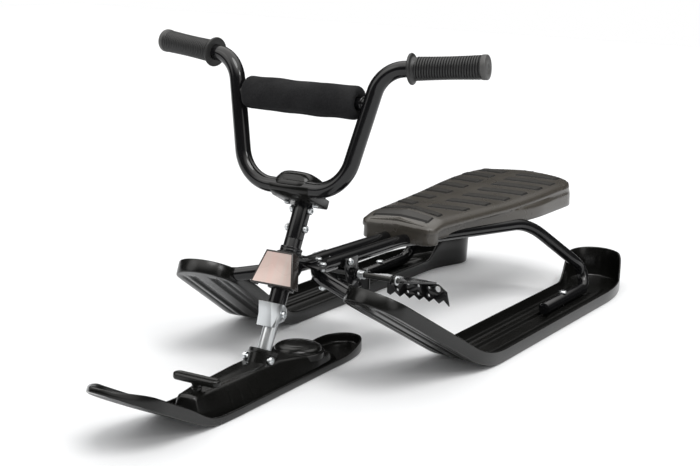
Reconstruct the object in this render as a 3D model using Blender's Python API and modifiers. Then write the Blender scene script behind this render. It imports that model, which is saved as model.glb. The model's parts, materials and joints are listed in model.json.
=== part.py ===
"""Steering sled: two rear skis and a hard seat on a bent tube frame, a raked steering column with a
handlebar, a front ski that tilts on the column's foot, a foot brake and a tow handle with its reel.

Metres, +Z up. The sled faces -Y and +X is the rider's left. The origin is on the ground at the
middle of the sled's length and width."""
import math

import bmesh
import bpy
from mathutils import Matrix, Vector

# Overall
LENGTH = 1.220
FIT = 0.0003                      # gap between two pieces that touch
SLIDE_FIT = 0.0008                # gap round a piece that turns or slides
SMOOTH_ANGLE = math.radians(38)

# Steering axis: it passes AXIS_FOOT and leans back by RAKE
RAKE = math.radians(25.6)
AXIS_FOOT = Vector((0.0, -0.2586, 0.049))

# Frame tubes, left side; the right one is its mirror image
FRAME_TUBE_R = 0.0098
FRAME_HALF_GAUGE = 0.0145         # from the middle plane to a tube's axis along the backbone
BACKBONE_FRONT_Y = -0.172
BACKBONE_FRONT_Z = 0.1465
BACKBONE_REAR_Y = 0.087
BACKBONE_REAR_Z = 0.143
SPLAY_X = 0.098                   # where the tube leaves the seat's underside
SPLAY_Y = 0.380
SPLAY_Z = 0.134
LEG_KNEE = Vector((0.158, 0.446, 0.066))
LEG_FOOT_Y = 0.512                # corner of the bend at the leg's foot
SKI_TUBE_Z = 0.0175               # axis of the stretch that lies in the ski
SKI_TUBE_FRONT_Y = 0.285
FRONT_BEND_R = 0.045
SPLAY_BEND_R = 0.090
KNEE_BEND_R = 0.060
FOOT_BEND_R = 0.024
TIP_BEND_R = 0.020

# Rear skis, left side
SKI_X = 0.1765                    # middle line of the flat stretch
SKI_HALF_WIDTH = 0.0475
SKI_WALL = 0.003
SKI_RIM_HEIGHT = 0.020
SKI_KINK_Y = -0.0045              # middle of the bend where the shovel rises
SKI_KINK_REACH = 0.055            # half the length of that bend
SHOVEL_LENGTH = 0.2730            # along the slope, from the kink to the tip
SHOVEL_SLOPE = math.radians(29.6)
SHOVEL_YAW = math.radians(11.3)     # the tips point inwards
TAIL_BEND_Y = 0.430
TAIL_YAW = math.radians(20)
TAIL_RIM_HEIGHT = 0.055
TAIL_LIFT = math.radians(3)
TAIL_FLARE = 0.2                  # how far the tail's rim leans back for its height
SKI_RIDGE_U = 0.0165              # the two ridges that hold the tube, from the middle line
SKI_RIDGE_HEIGHT = 0.005
SKI_RIDGE_WIDTH = 0.007
SKI_BOLT_Y = 0.363
SKI_FLAT_S = 0.100                # a station of the flat stretch, as far back as it is along the line
SKI_BED_HALF = 0.007              # the bed under the tube: half its width and its two ends
SKI_BED_Y = (0.300, 0.470)

# Front ski
FRONT_SKI_TAIL_Y = -0.020
FRONT_SKI_HALF_WIDTH = 0.0465
FRONT_SKI_WALL = 0.003
FRONT_SKI_RIM = 0.011
FRONT_SHOVEL_RIM = 0.016
FRONT_TIP_RIM = 0.007
FRONT_TIP_LENGTH = 0.088
FRONT_SHOVEL_Y = -0.434           # middle of the bend where its shovel rises
FRONT_SHOVEL_REACH = 0.040        # half the length of that bend
FRONT_TAIL_RIM = 0.018
FRONT_SHOVEL_SLOPE = math.radians(25)
FRONT_TIP_SLOPE = math.radians(28)
FRONT_TAIL_START_Y = -0.140
TILT_PIN = Vector((0.0, -0.271, 0.0415))
TILT_PIN_R = 0.0035

# Housing on the front ski
HOUSING_WALL = 0.003
HOUSING_FRONT_Y = -0.432
HOUSING_REAR_Y = -0.112
SOCKET_R = 0.0205
SOCKET_TOP_W = 0.001              # along the axis from its foot
PIN_SEAT_X = 0.019                # where the pivot bolt's head and nut sit on the socket
REEL_Y = -0.174
REEL_COVER_R = 0.034
REEL_COVER_TOP_Z = 0.041
REEL_R = 0.022
REEL_HEIGHT = 0.010

# Column, measured along the axis from its foot
LOWER_COLUMN_R = 0.00975
LOWER_COLUMN_WALL = 0.0018
LOWER_COLUMN_FOOT_W = -0.004
COLUMN_R = 0.0125
COLUMN_WALL = 0.0018
COLUMN_FOOT_W = 0.046
STEM_FOOT_W = 0.159
BAR_W = 0.2232                    # axis of the bar where the clamp holds it
STEM_TOP_W = BAR_W - 0.0027
STEM_WALL = 0.0018
STEM_BOLT_WS = (BAR_W - 0.0480, BAR_W - 0.0214)
STEM_BOLT_R = 0.003
HEAD_TUBE_R = 0.0175
HEAD_TUBE_LOW_W = 0.090
HEAD_TUBE_TOP_W = 0.135
HEAD_FLANGE = 0.003
COLLAR_R = 0.0155
COLLAR_HEIGHT = 0.008

# Handlebar, in its own plane: x to the side, t up the plane from the clamp, n behind the plane
BAR_R = 0.011
BAR_TILT = math.radians(15.9)     # the plane leans forward from the steering axis
BAR_V = -0.0375
BAR_LOWER_CORNER_X = 0.0785
BAR_UPPER_CORNER = Vector((0.118, 0.1693))
BAR_END = Vector((0.256, 0.185, 0.021))
BAR_LOWER_BEND_R = 0.055
BAR_UPPER_BEND_R = 0.045
CROSSBAR_T = 0.1224
CROSSBAR_R = 0.008
PAD_HALF_LENGTH = 0.0902
PAD_CHAMFER = 0.004
PAD_R = 0.0235
GRIP_START_X = 0.157
GRIP_R = 0.0165
GRIP_FLANGE_R = 0.021
GRIP_END_WALL = 0.004

# Clamp of the handlebar
CLAMP_HALF_WIDTH = 0.032

# Seat
SEAT_FRONT_Y = 0.095
SEAT_REAR_Y = 0.597
SEAT_RIM_Z = 0.138
SEAT_EDGE_Z = 0.173
SEAT_REAR_RISE = 0.005
SEAT_CROWN = 0.012                # the middle line above the edges
SEAT_WALL = 0.003
SEAT_FRONT_HALF = 0.0645
SEAT_WAIST_HALF = 0.045
SEAT_WIDEST_HALF = 0.1035
SEAT_WIDEST_Y = 0.440
SEAT_SLOT_DEPTH = 0.0016
SEAT_SLOT_WIDTH = 0.022
SEAT_SLOT_SWEEP = 0.037            # how far a slot's outer end is behind its inner end
SEAT_SLOT_FIRST_Y = 0.203         # middle of the first slot
SEAT_SLOT_PITCH = 0.064
SEAT_SLOT_CLOSING = 0.0014        # each pitch is this much shorter, twice over
SEAT_SLOTS = 7

# Brake
BRAKE_AXLE = Vector((0.0, -0.075, 0.126))
BRAKE_AXLE_R = 0.004
BRAKE_AXLE_HALF = 0.104
BRAKE_INNER_X = 0.016
BRAKE_OUTER_X = 0.123
BRAKE_TREAD_END = Vector((0.0, 0.050, 0.098))
BRAKE_TOOTH_Z = 0.066
BRAKE_PLATE = 0.003
BRAKE_TEETH = 6
BRAKE_CHEEK_X = 0.0262            # inner face of each cheek of the bracket

# Tow handle
HANDLE_Y = -0.408
HANDLE_Z = 0.0445                 # underside of the bar
HANDLE_HALF = 0.036
HANDLE_DEPTH = 0.017
HANDLE_THICK = 0.009


def remove_everything():
    """Start from an empty scene."""
    for obj in list(bpy.data.objects):
        bpy.data.objects.remove(obj, do_unlink=True)


remove_everything()
PARTS = bpy.data.collections.new("steering_sled")
CUTTERS = bpy.data.collections.new("cutters")
bpy.context.scene.collection.children.link(PARTS)
bpy.context.scene.collection.children.link(CUTTERS)


def paint(name, colour, roughness, metallic=0.0):
    """A Principled BSDF material of one colour."""
    material = bpy.data.materials.new(name)
    material.use_nodes = True
    shader = material.node_tree.nodes["Principled BSDF"]
    shader.inputs["Base Color"].default_value = (*colour, 1.0)
    shader.inputs["Roughness"].default_value = roughness
    shader.inputs["Metallic"].default_value = metallic
    return material


PAINTED_STEEL = paint("painted_steel", (0.012, 0.012, 0.013), 0.28)
ZINC = paint("zinc", (0.72, 0.74, 0.74), 0.32, 1.0)
BLACK_PLASTIC = paint("black_plastic", (0.012, 0.012, 0.012), 0.33)
SEAT_PLASTIC = paint("seat_plastic", (0.022, 0.021, 0.020), 0.42)
RUBBER = paint("rubber", (0.016, 0.016, 0.016), 0.62)
FOAM = paint("foam_cover", (0.010, 0.010, 0.011), 0.85)
COVER_PLASTIC = paint("cover_plastic", (0.62, 0.52, 0.50), 0.35)


def empty(name, place):
    """A parent on a joint's axis."""
    obj = bpy.data.objects.new(name, None)
    obj.location = place
    obj.empty_display_size = 0.03
    PARTS.objects.link(obj)
    return obj


STEERING = empty("steering_axis", AXIS_FOOT)
TILT = empty("front_ski_axis", TILT_PIN)
BRAKE = empty("brake_axis", BRAKE_AXLE)
HANDLE = empty("pull_handle_axis", (0.0, HANDLE_Y, HANDLE_Z))
REEL = empty("reel_axis", (0.0, REEL_Y, 0.0))
TILT.parent = STEERING
TILT.matrix_parent_inverse = Matrix.Translation(-AXIS_FOOT)
for on_ski in (HANDLE, REEL):
    on_ski.parent = TILT
    on_ski.matrix_parent_inverse = Matrix.Translation(-TILT_PIN)


def attach(obj, parent):
    """Parent a piece that is already in its place."""
    bpy.context.view_layer.update()
    if parent is not None:
        obj.parent = parent
        obj.matrix_parent_inverse = parent.matrix_world.inverted()


def smooth_shade(mesh):
    """Smooth faces with sharp edges where the surface turns."""
    mesh.shade_smooth()
    mesh.set_sharp_from_angle(angle=SMOOTH_ANGLE)


def piece(name, bm, material, parent=None):
    """An object of the part from a finished bmesh."""
    mesh = bpy.data.meshes.new(name)
    bmesh.ops.recalc_face_normals(bm, faces=bm.faces)
    bm.to_mesh(mesh)
    bm.free()
    mesh.materials.append(material)
    smooth_shade(mesh)
    obj = bpy.data.objects.new(name, mesh)
    PARTS.objects.link(obj)
    attach(obj, parent)
    return obj


def tool(name, bm):
    """A cutter, or a body that a union takes in."""
    mesh = bpy.data.meshes.new(name)
    bmesh.ops.recalc_face_normals(bm, faces=bm.faces)
    bm.to_mesh(mesh)
    bm.free()
    obj = bpy.data.objects.new(name, mesh)
    obj.hide_render = True
    obj.display_type = "WIRE"
    CUTTERS.objects.link(obj)
    return obj


def boolean(obj, other, operation="DIFFERENCE"):
    """Cut or join a piece with a body of the cutters' collection."""
    modifier = obj.modifiers.new(operation.lower() + "_" + other.name, "BOOLEAN")
    modifier.operation = operation
    modifier.object = other
    modifier.solver = "EXACT"


def round_edges(obj, width, segments=2, angle=35):
    """Round the edges that turn by more than an angle."""
    modifier = obj.modifiers.new("rounded", "BEVEL")
    modifier.width = width
    modifier.segments = segments
    modifier.limit_method = "ANGLE"
    modifier.angle_limit = math.radians(angle)


def box(low, high):
    """A box between two corners."""
    bm = bmesh.new()
    bmesh.ops.create_cube(bm, size=1.0)
    size = Vector(high) - Vector(low)
    bmesh.ops.scale(bm, vec=size, verts=bm.verts)
    bmesh.ops.translate(bm, vec=(Vector(low) + Vector(high)) / 2, verts=bm.verts)
    return bm


def rod(start, end, radius, sides=16, end_radius=None):
    """A closed cylinder or cone between two points."""
    start, end = Vector(start), Vector(end)
    bm = bmesh.new()
    bmesh.ops.create_cone(bm, cap_ends=True, segments=sides, radius1=radius,
                          radius2=radius if end_radius is None else end_radius,
                          depth=(end - start).length)
    turn = (end - start).to_track_quat("Z", "Y").to_matrix().to_4x4()
    bmesh.ops.transform(bm, matrix=Matrix.Translation((start + end) / 2) @ turn, verts=bm.verts)
    return bm


def merged(*meshes):
    """Several closed bodies in one bmesh; they don't touch each other."""
    whole = bmesh.new()
    for bm in meshes:
        mesh = bpy.data.meshes.new("scratch")
        bm.to_mesh(mesh)
        bm.free()
        whole.from_mesh(mesh)
        bpy.data.meshes.remove(mesh)
    return whole


def prism(outline, thickness, place=Matrix.Identity(4)):
    """A flat outline given a thickness along its own +Z, then put in place."""
    bm = bmesh.new()
    face = bm.faces.new([bm.verts.new((x, y, 0.0)) for x, y in outline])
    raised = bmesh.ops.extrude_face_region(bm, geom=[face])
    tops = [v for v in raised["geom"] if isinstance(v, bmesh.types.BMVert)]
    bmesh.ops.translate(bm, vec=(0.0, 0.0, thickness), verts=tops)
    bmesh.ops.transform(bm, matrix=place, verts=bm.verts)
    return bm


def on_axis(w, v=0.0, x=0.0):
    """The point w along the steering axis, v behind it and x to the side."""
    along = Vector((0.0, math.sin(RAKE), math.cos(RAKE)))
    behind = Vector((0.0, math.cos(RAKE), -math.sin(RAKE)))
    return AXIS_FOOT + along * w + behind * v + Vector((x, 0.0, 0.0))


STEER_FRAME = Matrix.Translation(AXIS_FOOT) @ Matrix.Rotation(-RAKE, 4, "X")


def turned(name, profile, material, place, parent=None, steps=16):
    """A turned piece: (radius, height) points down its outer side, spun round its own Z."""
    ring = profile[0][0] > 0.0
    bm = bmesh.new()
    verts = [bm.verts.new((r, 0.0, z)) for r, z in profile]
    for a, b in zip(verts, verts[1:]):
        bm.edges.new((a, b))
    if ring:
        bm.edges.new((verts[-1], verts[0]))
    mesh = bpy.data.meshes.new(name)
    bm.to_mesh(mesh)
    bm.free()
    mesh.materials.append(material)
    obj = bpy.data.objects.new(name, mesh)
    obj.matrix_world = place
    PARTS.objects.link(obj)
    screw = obj.modifiers.new("spin", "SCREW")
    screw.steps = steps
    screw.render_steps = steps
    screw.use_merge_vertices = True
    screw.merge_threshold = 0.00001
    screw.use_smooth_shade = True
    attach(obj, parent)
    return obj


def bend(corners, radii, turn_step=math.radians(17)):
    """A path through corners, each inner one rounded by an arc of its radius."""
    corners = [Vector(c) for c in corners]
    path = [corners[0]]
    for before, corner, after, radius in zip(corners, corners[1:], corners[2:], radii):
        back = (before - corner).normalized()
        ahead = (after - corner).normalized()
        half = back.angle(ahead) / 2
        reach = radius / math.tan(half)
        middle = corner + (back + ahead).normalized() * radius / math.sin(half)
        first = corner + back * reach - middle
        last = corner + ahead * reach - middle
        sweep = first.angle(last)
        steps = max(2, math.ceil(sweep / turn_step))
        for i in range(steps + 1):
            share = i / steps
            arm = first * math.sin((1 - share) * sweep) + last * math.sin(share * sweep)
            path.append(middle + arm / math.sin(sweep))
    path.append(corners[-1])
    return path


def swept(path, radius, resolution=4):
    """A closed round bar along a path, as a mesh."""
    curve = bpy.data.curves.new("path", "CURVE")
    curve.dimensions = "3D"
    curve.bevel_depth = radius
    curve.bevel_resolution = resolution
    curve.use_fill_caps = True
    spline = curve.splines.new("POLY")
    spline.points.add(len(path) - 1)
    for point, place in zip(spline.points, path):
        point.co = (*place, 1.0)
    obj = bpy.data.objects.new("path", curve)
    bpy.context.scene.collection.objects.link(obj)
    depsgraph = bpy.context.evaluated_depsgraph_get()
    mesh = bpy.data.meshes.new_from_object(obj.evaluated_get(depsgraph))
    bm = bmesh.new()
    bm.from_mesh(mesh)
    bmesh.ops.remove_doubles(bm, verts=bm.verts, dist=0.00002)
    bpy.data.objects.remove(obj, do_unlink=True)
    bpy.data.meshes.remove(mesh)
    return bm


def ramp(value, start, end):
    """0 before start, 1 after end, smooth between them."""
    share = min(1.0, max(0.0, (value - start) / (end - start)))
    return share * share * (3.0 - 2.0 * share)


def mirrored(points, side):
    """Points of the left side, or of the right side where side is -1."""
    return [Vector((side * p[0], p[1], p[2])) for p in points]


SIDES = (("left", 1), ("right", -1))


# Skis: a straight tray with a rim, bent along a middle line
class MiddleLine:
    """A ski's middle line on its underside, followed from a flat reference station at s = 0."""

    STEP = 0.002

    def __init__(self, origin, pitch, yaw, start, end):
        self.places = {}
        self.pitch = pitch
        self.yaw = yaw
        for sign, limit in ((1, end + 0.03), (-1, start - 0.01)):
            place = Vector(origin)
            for i in range(int(abs(limit) / self.STEP) + 2):
                s = sign * i * self.STEP
                self.places[sign * i] = place.copy()
                place = place + self.direction(s + sign * self.STEP / 2) * sign * self.STEP

    def shift(self, s, place):
        """Move the whole line so that it passes this place at s."""
        step = place - self.places[round(s / self.STEP)]
        for point in self.places.values():
            point += step

    def direction(self, s):
        """Which way the line runs at s, towards the tail."""
        p, y = self.pitch(s), self.yaw(s)
        return Vector((math.sin(y) * math.cos(p), math.cos(y) * math.cos(p), math.sin(p)))

    def place(self, u, s, h):
        """The point u to the side of s and h above the underside."""
        i = math.floor(s / self.STEP)
        share = s / self.STEP - i
        base = self.places[i].lerp(self.places[i + 1], share)
        side = Vector((math.cos(self.yaw(s)), -math.sin(self.yaw(s)), 0.0))
        return base + side * u + side.cross(self.direction(s)) * h


def ski_tray(stations, half_width, ridges, ridge_span, ridge_fade, rim, flare, line, name, parent,
             wall):
    """A tray with a rim: a capsule outline cut at its stations, its ridges raised, then bent."""
    bm = bmesh.new()
    right = [(half_width(s), s) for s in stations]
    outline = right + [(-u, s) for u, s in reversed(right) if u > 0.0005]
    verts = [bm.verts.new((u, s, 0.0)) for u, s in outline]
    bm.faces.new(verts)
    for s in stations[1:-1]:
        bmesh.ops.bisect_plane(bm, geom=bm.verts[:] + bm.edges[:] + bm.faces[:], dist=0.00001,
                               plane_co=(0, s, 0), plane_no=(0, 1, 0))
    for centre, width, height in ridges:
        for u in (centre - width, centre - width / 2, centre + width / 2, centre + width):
            faces = [f for f in bm.faces if ridge_span[0] < f.calc_center_median().y < ridge_span[1]]
            around = list({e for f in faces for e in f.edges}) + list({v for f in faces
                                                                       for v in f.verts})
            bmesh.ops.bisect_plane(bm, geom=faces + around, dist=0.00001,
                                   plane_co=(u, 0, 0), plane_no=(1, 0, 0))
    floor = bm.verts[:]
    edges = [e for e in bm.edges if e.is_boundary]
    rim_verts = [v for v in bmesh.ops.extrude_edge_only(bm, edges=edges)["geom"]
                 if isinstance(v, bmesh.types.BMVert)]
    low = min(rim(v.co.x, v.co.y) for v in rim_verts)
    for v in rim_verts:
        v.co.z = rim(v.co.x, v.co.y)
        v.co.y += flare * (v.co.z - low) * ramp(v.co.y, stations[-1] - 0.060, stations[-1])
    for v in floor:
        for centre, width, height in ridges:
            if abs(v.co.x - centre) < width * 0.6 and not v.is_boundary:
                v.co.z = height * ridge_fade(v.co.y)
    bmesh.ops.recalc_face_normals(bm, faces=bm.faces)
    top = max((f for f in bm.faces if abs(f.normal.z) > 0.9), key=lambda f: f.calc_area())
    if top.normal.z < 0:
        bmesh.ops.reverse_faces(bm, faces=bm.faces)
    for v in bm.verts:
        v.co = line.place(*v.co)
    mesh = bpy.data.meshes.new(name)
    bm.to_mesh(mesh)
    bm.free()
    mesh.materials.append(BLACK_PLASTIC)
    smooth_shade(mesh)
    obj = bpy.data.objects.new(name, mesh)
    PARTS.objects.link(obj)
    skin = obj.modifiers.new("wall", "SOLIDIFY")
    skin.thickness = wall
    skin.offset = 1.0
    skin.use_even_offset = True
    attach(obj, parent)
    return obj


def cap_stations(centre, radius, sign, steps=7):
    """Stations of a round end: from its widest line to its tip."""
    return [centre + sign * radius * math.sin(math.pi / 2 * i / steps) for i in range(steps + 1)]


SKI_TIP_S = SKI_KINK_Y - SHOVEL_LENGTH
SKI_TAIL_S = LENGTH / 2 - TAIL_FLARE * (TAIL_RIM_HEIGHT - SKI_RIM_HEIGHT) + 0.0066


def rear_ski_half(s):
    """Half width of the straight tray at s, with round ends."""
    front = SKI_TIP_S + SKI_HALF_WIDTH
    rear = SKI_TAIL_S - SKI_HALF_WIDTH
    over = max(front - s, s - rear, 0.0)
    return math.sqrt(max(0.0, SKI_HALF_WIDTH ** 2 - over ** 2))


def rear_ski_line(side):
    """Middle line of a rear ski, with its raised shovel and its tail drawn inwards."""
    def pitch(s):
        shovel = -SHOVEL_SLOPE * (1 - ramp(s, SKI_KINK_Y - SKI_KINK_REACH,
                                           SKI_KINK_Y + SKI_KINK_REACH))
        return shovel + TAIL_LIFT * ramp(s, SKI_TAIL_S - 0.070, SKI_TAIL_S)

    def yaw(s):
        tip = SHOVEL_YAW * (1 - ramp(s, SKI_KINK_Y - 0.0425, SKI_KINK_Y + 0.0275))
        tail = TAIL_YAW * ramp(s, TAIL_BEND_Y, SKI_TAIL_S - 0.050)
        return side * (tip - tail)

    line = MiddleLine((side * SKI_X, 0.0, 0.0), pitch, yaw, SKI_TIP_S, SKI_TAIL_S)
    line.shift(SKI_FLAT_S, Vector((side * SKI_X, SKI_FLAT_S, 0.0)))
    return line


def rear_ski(label, side):
    """One rear ski with the cuts for its tube and bolts."""
    front = SKI_TIP_S + SKI_HALF_WIDTH
    rear = SKI_TAIL_S - SKI_HALF_WIDTH
    middle = [SKI_TIP_S + 0.080, SKI_TIP_S + 0.150]
    middle += [SKI_KINK_Y + SKI_KINK_REACH * d for d in (-1.0, -0.55, -0.2, 0.15, 0.55, 1.0)]
    middle += [0.200, 0.430, 0.455, 0.480, 0.505, 0.530]
    stations = cap_stations(front, SKI_HALF_WIDTH, -1)[::-1] + middle
    stations += cap_stations(rear, SKI_HALF_WIDTH, 1)

    def rim(u, s):
        inner = ramp(s, 0.458, 0.512)
        outer = ramp(s, 0.525, 0.585)
        share = ramp(u * side, -SKI_HALF_WIDTH, SKI_HALF_WIDTH)
        rise = inner * (1 - share) + outer * share
        return SKI_RIM_HEIGHT + (TAIL_RIM_HEIGHT - SKI_RIM_HEIGHT) * rise

    def fade(s):
        return ramp(s, SKI_TIP_S + 0.030, SKI_TIP_S + 0.060) * (1 - ramp(s, 0.500, 0.530))

    ridges = [(sign * SKI_RIDGE_U, SKI_RIDGE_WIDTH, SKI_RIDGE_HEIGHT) for sign in (-1, 1)]
    span = (SKI_TIP_S + 0.028, 0.531)
    ski = ski_tray(stations, rear_ski_half, ridges, span, fade, rim, TAIL_FLARE,
                   rear_ski_line(side), "rear_ski_" + label, None, SKI_WALL)
    hole = tool("tube_hole_" + label, swept(frame_path(side, 3), FRAME_TUBE_R + FIT, 3))
    boolean(ski, hole)
    bed_top = SKI_TUBE_Z - FRAME_TUBE_R - FIT
    bed = box((side * SKI_X - SKI_BED_HALF, SKI_BED_Y[0], SKI_WALL - 0.001),
              (side * SKI_X + SKI_BED_HALF, SKI_BED_Y[1], bed_top))
    boolean(ski, tool("ski_bed_" + label, bed), "UNION")
    bolt = (side * SKI_X, SKI_BOLT_Y)
    boolean(ski, tool("ski_bolt_hole_" + label,
                      rod((*bolt, -0.01), (*bolt, 0.02), SKI_BOLT_R + FIT, sides=12)))
    return ski


SKI_BOLT_R = 0.003


def frame_path(side, corners=None):
    """Axis of a frame tube, from the ski's tip back to its end in the ski's bed."""
    tip = rear_ski_line(1).place(-0.006, SKI_TIP_S + SKI_HALF_WIDTH - 0.004, 0.0131)
    entry = rear_ski_line(1).place(-0.045, SKI_TIP_S + SKI_HALF_WIDTH - 0.010, 0.0138)
    points = [tip, entry,
              (FRAME_HALF_GAUGE, BACKBONE_FRONT_Y, BACKBONE_FRONT_Z),
              (FRAME_HALF_GAUGE, BACKBONE_REAR_Y, BACKBONE_REAR_Z),
              (SPLAY_X, SPLAY_Y, SPLAY_Z), LEG_KNEE,
              (SKI_X, LEG_FOOT_Y, SKI_TUBE_Z),
              (SKI_X, SKI_TUBE_FRONT_Y, SKI_TUBE_Z)]
    radii = [TIP_BEND_R, FRONT_BEND_R, SPLAY_BEND_R, SPLAY_BEND_R, KNEE_BEND_R, FOOT_BEND_R]
    if corners:
        points, radii = points[:corners], radii[:corners - 2]
    return mirrored(bend(points, radii), side)


def tube_at(value, axis=1):
    """The first point of the left tube's axis with this x (axis 0) or y (axis 1), from its tip."""
    path = frame_path(1)
    for a, b in zip(path, path[1:]):
        if min(a[axis], b[axis]) <= value <= max(a[axis], b[axis]) and a[axis] != b[axis]:
            return a.lerp(b, (value - a[axis]) / (b[axis] - a[axis]))
    return path[0]


def frame_tubes():
    """The two bent tubes of the frame."""
    for label, side in SIDES:
        tube = piece("frame_tube_" + label, swept(frame_path(side), FRAME_TUBE_R, 3), PAINTED_STEEL)
        bolt = (side * SKI_X, SKI_BOLT_Y)
        boolean(tube, tool("tube_bolt_hole_" + label,
                           rod((*bolt, -0.02), (*bolt, 0.05), SKI_BOLT_R + FIT, sides=12)))


def fastener(name, seat, way, length, radius, head, nut=None, parent=None, sides=8):
    """A bolt: its shank runs from the seat along way, its head is behind the seat, and its nut,
    where it has one, is at the tip. Head and nut are (radius, height)."""
    seat, way = Vector(seat), Vector(way).normalized()
    obj = piece(name, rod(seat - way * head[1] / 2, seat + way * length, radius, sides), ZINC,
                parent)
    boolean(obj, tool(name + "_head", rod(seat - way * head[1], seat, head[0], sides)), "UNION")
    if nut:
        tip = seat + way * (length - nut[1] - radius / 2)
        boolean(obj, tool(name + "_nut", rod(tip, tip + way * nut[1], nut[0], sides)), "UNION")
    return obj


def ski_bolts():
    """A bolt down through the bed of each tube into its ski."""
    seat_z = SKI_TUBE_Z + FRAME_TUBE_R + FIT
    for label, side in SIDES:
        fastener("ski_bolt_" + label, (side * SKI_X, SKI_BOLT_Y, seat_z), (0, 0, -1),
                 seat_z - 0.0012, SKI_BOLT_R, (0.0065, 0.004))


# Steering column, upright in its own frame and then leaned back
def upright(bm):
    """Lean an upright piece back on to the steering axis."""
    bmesh.ops.transform(bm, matrix=STEER_FRAME, verts=bm.verts)
    return bm


def pipe(name, outer, wall, low, high, material, parent=STEERING, steps=16):
    """A pipe on the steering axis."""
    profile = [(outer, high), (outer, low), (outer - wall, low), (outer - wall, high)]
    return turned(name, profile, material, STEER_FRAME, parent, steps)


def column():
    """Lower column, column with its thinner top, stem, collar and their cross bolts."""
    lower = pipe("lower_column", LOWER_COLUMN_R, LOWER_COLUMN_WALL, LOWER_COLUMN_FOOT_W,
                 0.075, ZINC)
    neck_r = COLUMN_R - STEM_WALL - FIT
    bore = LOWER_COLUMN_R + FIT
    shoulder = STEM_FOOT_W - FIT
    tube = turned("column_tube", [(neck_r, STEM_TOP_W - 0.010), (neck_r, shoulder),
                                  (COLUMN_R, shoulder), (COLUMN_R, COLUMN_FOOT_W),
                                  (bore, COLUMN_FOOT_W), (bore, 0.078),
                                  (neck_r - COLUMN_WALL, 0.086),
                                  (neck_r - COLUMN_WALL, STEM_TOP_W - 0.010)],
                  PAINTED_STEEL, STEER_FRAME, STEERING)
    stem = pipe("stem_tube", COLUMN_R, STEM_WALL, STEM_FOOT_W, STEM_TOP_W, PAINTED_STEEL)
    collar_low = HEAD_TUBE_TOP_W + HEAD_FLANGE + SLIDE_FIT
    turned("column_collar", [(COLLAR_R, collar_low + COLLAR_HEIGHT), (COLLAR_R, collar_low),
                             (COLUMN_R + FIT, collar_low),
                             (COLUMN_R + FIT, collar_low + COLLAR_HEIGHT)],
           PAINTED_STEEL, STEER_FRAME, STEERING)
    hole_r = STEM_BOLT_R + FIT
    for label, w in zip(("lower", "upper"), STEM_BOLT_WS):
        hole = tool("stem_hole_" + label, rod(on_axis(w, x=-0.03), on_axis(w, x=0.03), hole_r,
                                              12))
        boolean(tube, hole)
        boolean(stem, hole)
    seat_x = COLUMN_R + FIT
    for label, w in zip(("lower", "upper"), STEM_BOLT_WS):
        fastener("stem_bolt_" + label, on_axis(w, x=seat_x), (-1, 0, 0), seat_x + 0.0195,
                 STEM_BOLT_R, (0.0055, 0.004), None, STEERING)
        nut = piece("stem_nut_" + label, rod(on_axis(w, x=-seat_x - 0.005), on_axis(w, x=-seat_x),
                                             0.0058, 6), ZINC, STEERING)
        boolean(nut, bpy.data.objects["stem_hole_" + label])
    fork_hole = tool("fork_bolt_hole", rod(on_axis(FORK_BOLT_W, x=-0.03),
                                           on_axis(FORK_BOLT_W, x=0.03), FORK_BOLT_R + FIT, 12))
    boolean(lower, fork_hole)
    boolean(tube, fork_hole)
    return fork_hole


FORK_BOLT_W = 0.053
FORK_BOLT_R = 0.003
FORK_PLATE = 0.002
FORK_FRONT_HALF = 0.010
FORK_LOW_W = 0.0322
FORK_FRONT_LOW_V = -0.0146
FORK_FRONT_TOP_V = -0.0298
FORK_TOP_W = 0.0628


def fork_wedge(inset, reach, low, high):
    """A wedge that widens to the ears; its front leans with the bracket's front."""
    lean = (FORK_FRONT_TOP_V - FORK_FRONT_LOW_V) / (FORK_TOP_W - FORK_LOW_W)
    ear = COLUMN_R + FIT + FORK_PLATE - inset
    rings = []
    for w in (low, 0.030, 0.048, 0.066, high):
        front = FORK_FRONT_LOW_V + lean * (w - FORK_LOW_W) + inset
        half = FORK_FRONT_HALF - inset
        rings.append([(-ear, reach, w), (-ear, -COLUMN_R, w), (-half, front, w),
                      (half, front, w), (ear, -COLUMN_R, w), (ear, reach, w)])
    bm = loft(rings)
    bmesh.ops.triangulate(bm, faces=[f for f in bm.faces if len(f.verts) == 4],
                          quad_method="FIXED")
    return bm


def loft(rings, caps=True):
    """Faces between rings with the same number of points, and a cap on each end."""
    bm = bmesh.new()
    rows = [[bm.verts.new(p) for p in ring] for ring in rings]
    count = len(rings[0])
    for a, b in zip(rows, rows[1:]):
        for i in range(count):
            j = (i + 1) % count
            bm.faces.new((a[i], a[j], b[j], b[i]))
    if caps:
        bm.faces.new(rows[0][::-1])
        bm.faces.new(rows[-1])
    return bm


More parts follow.
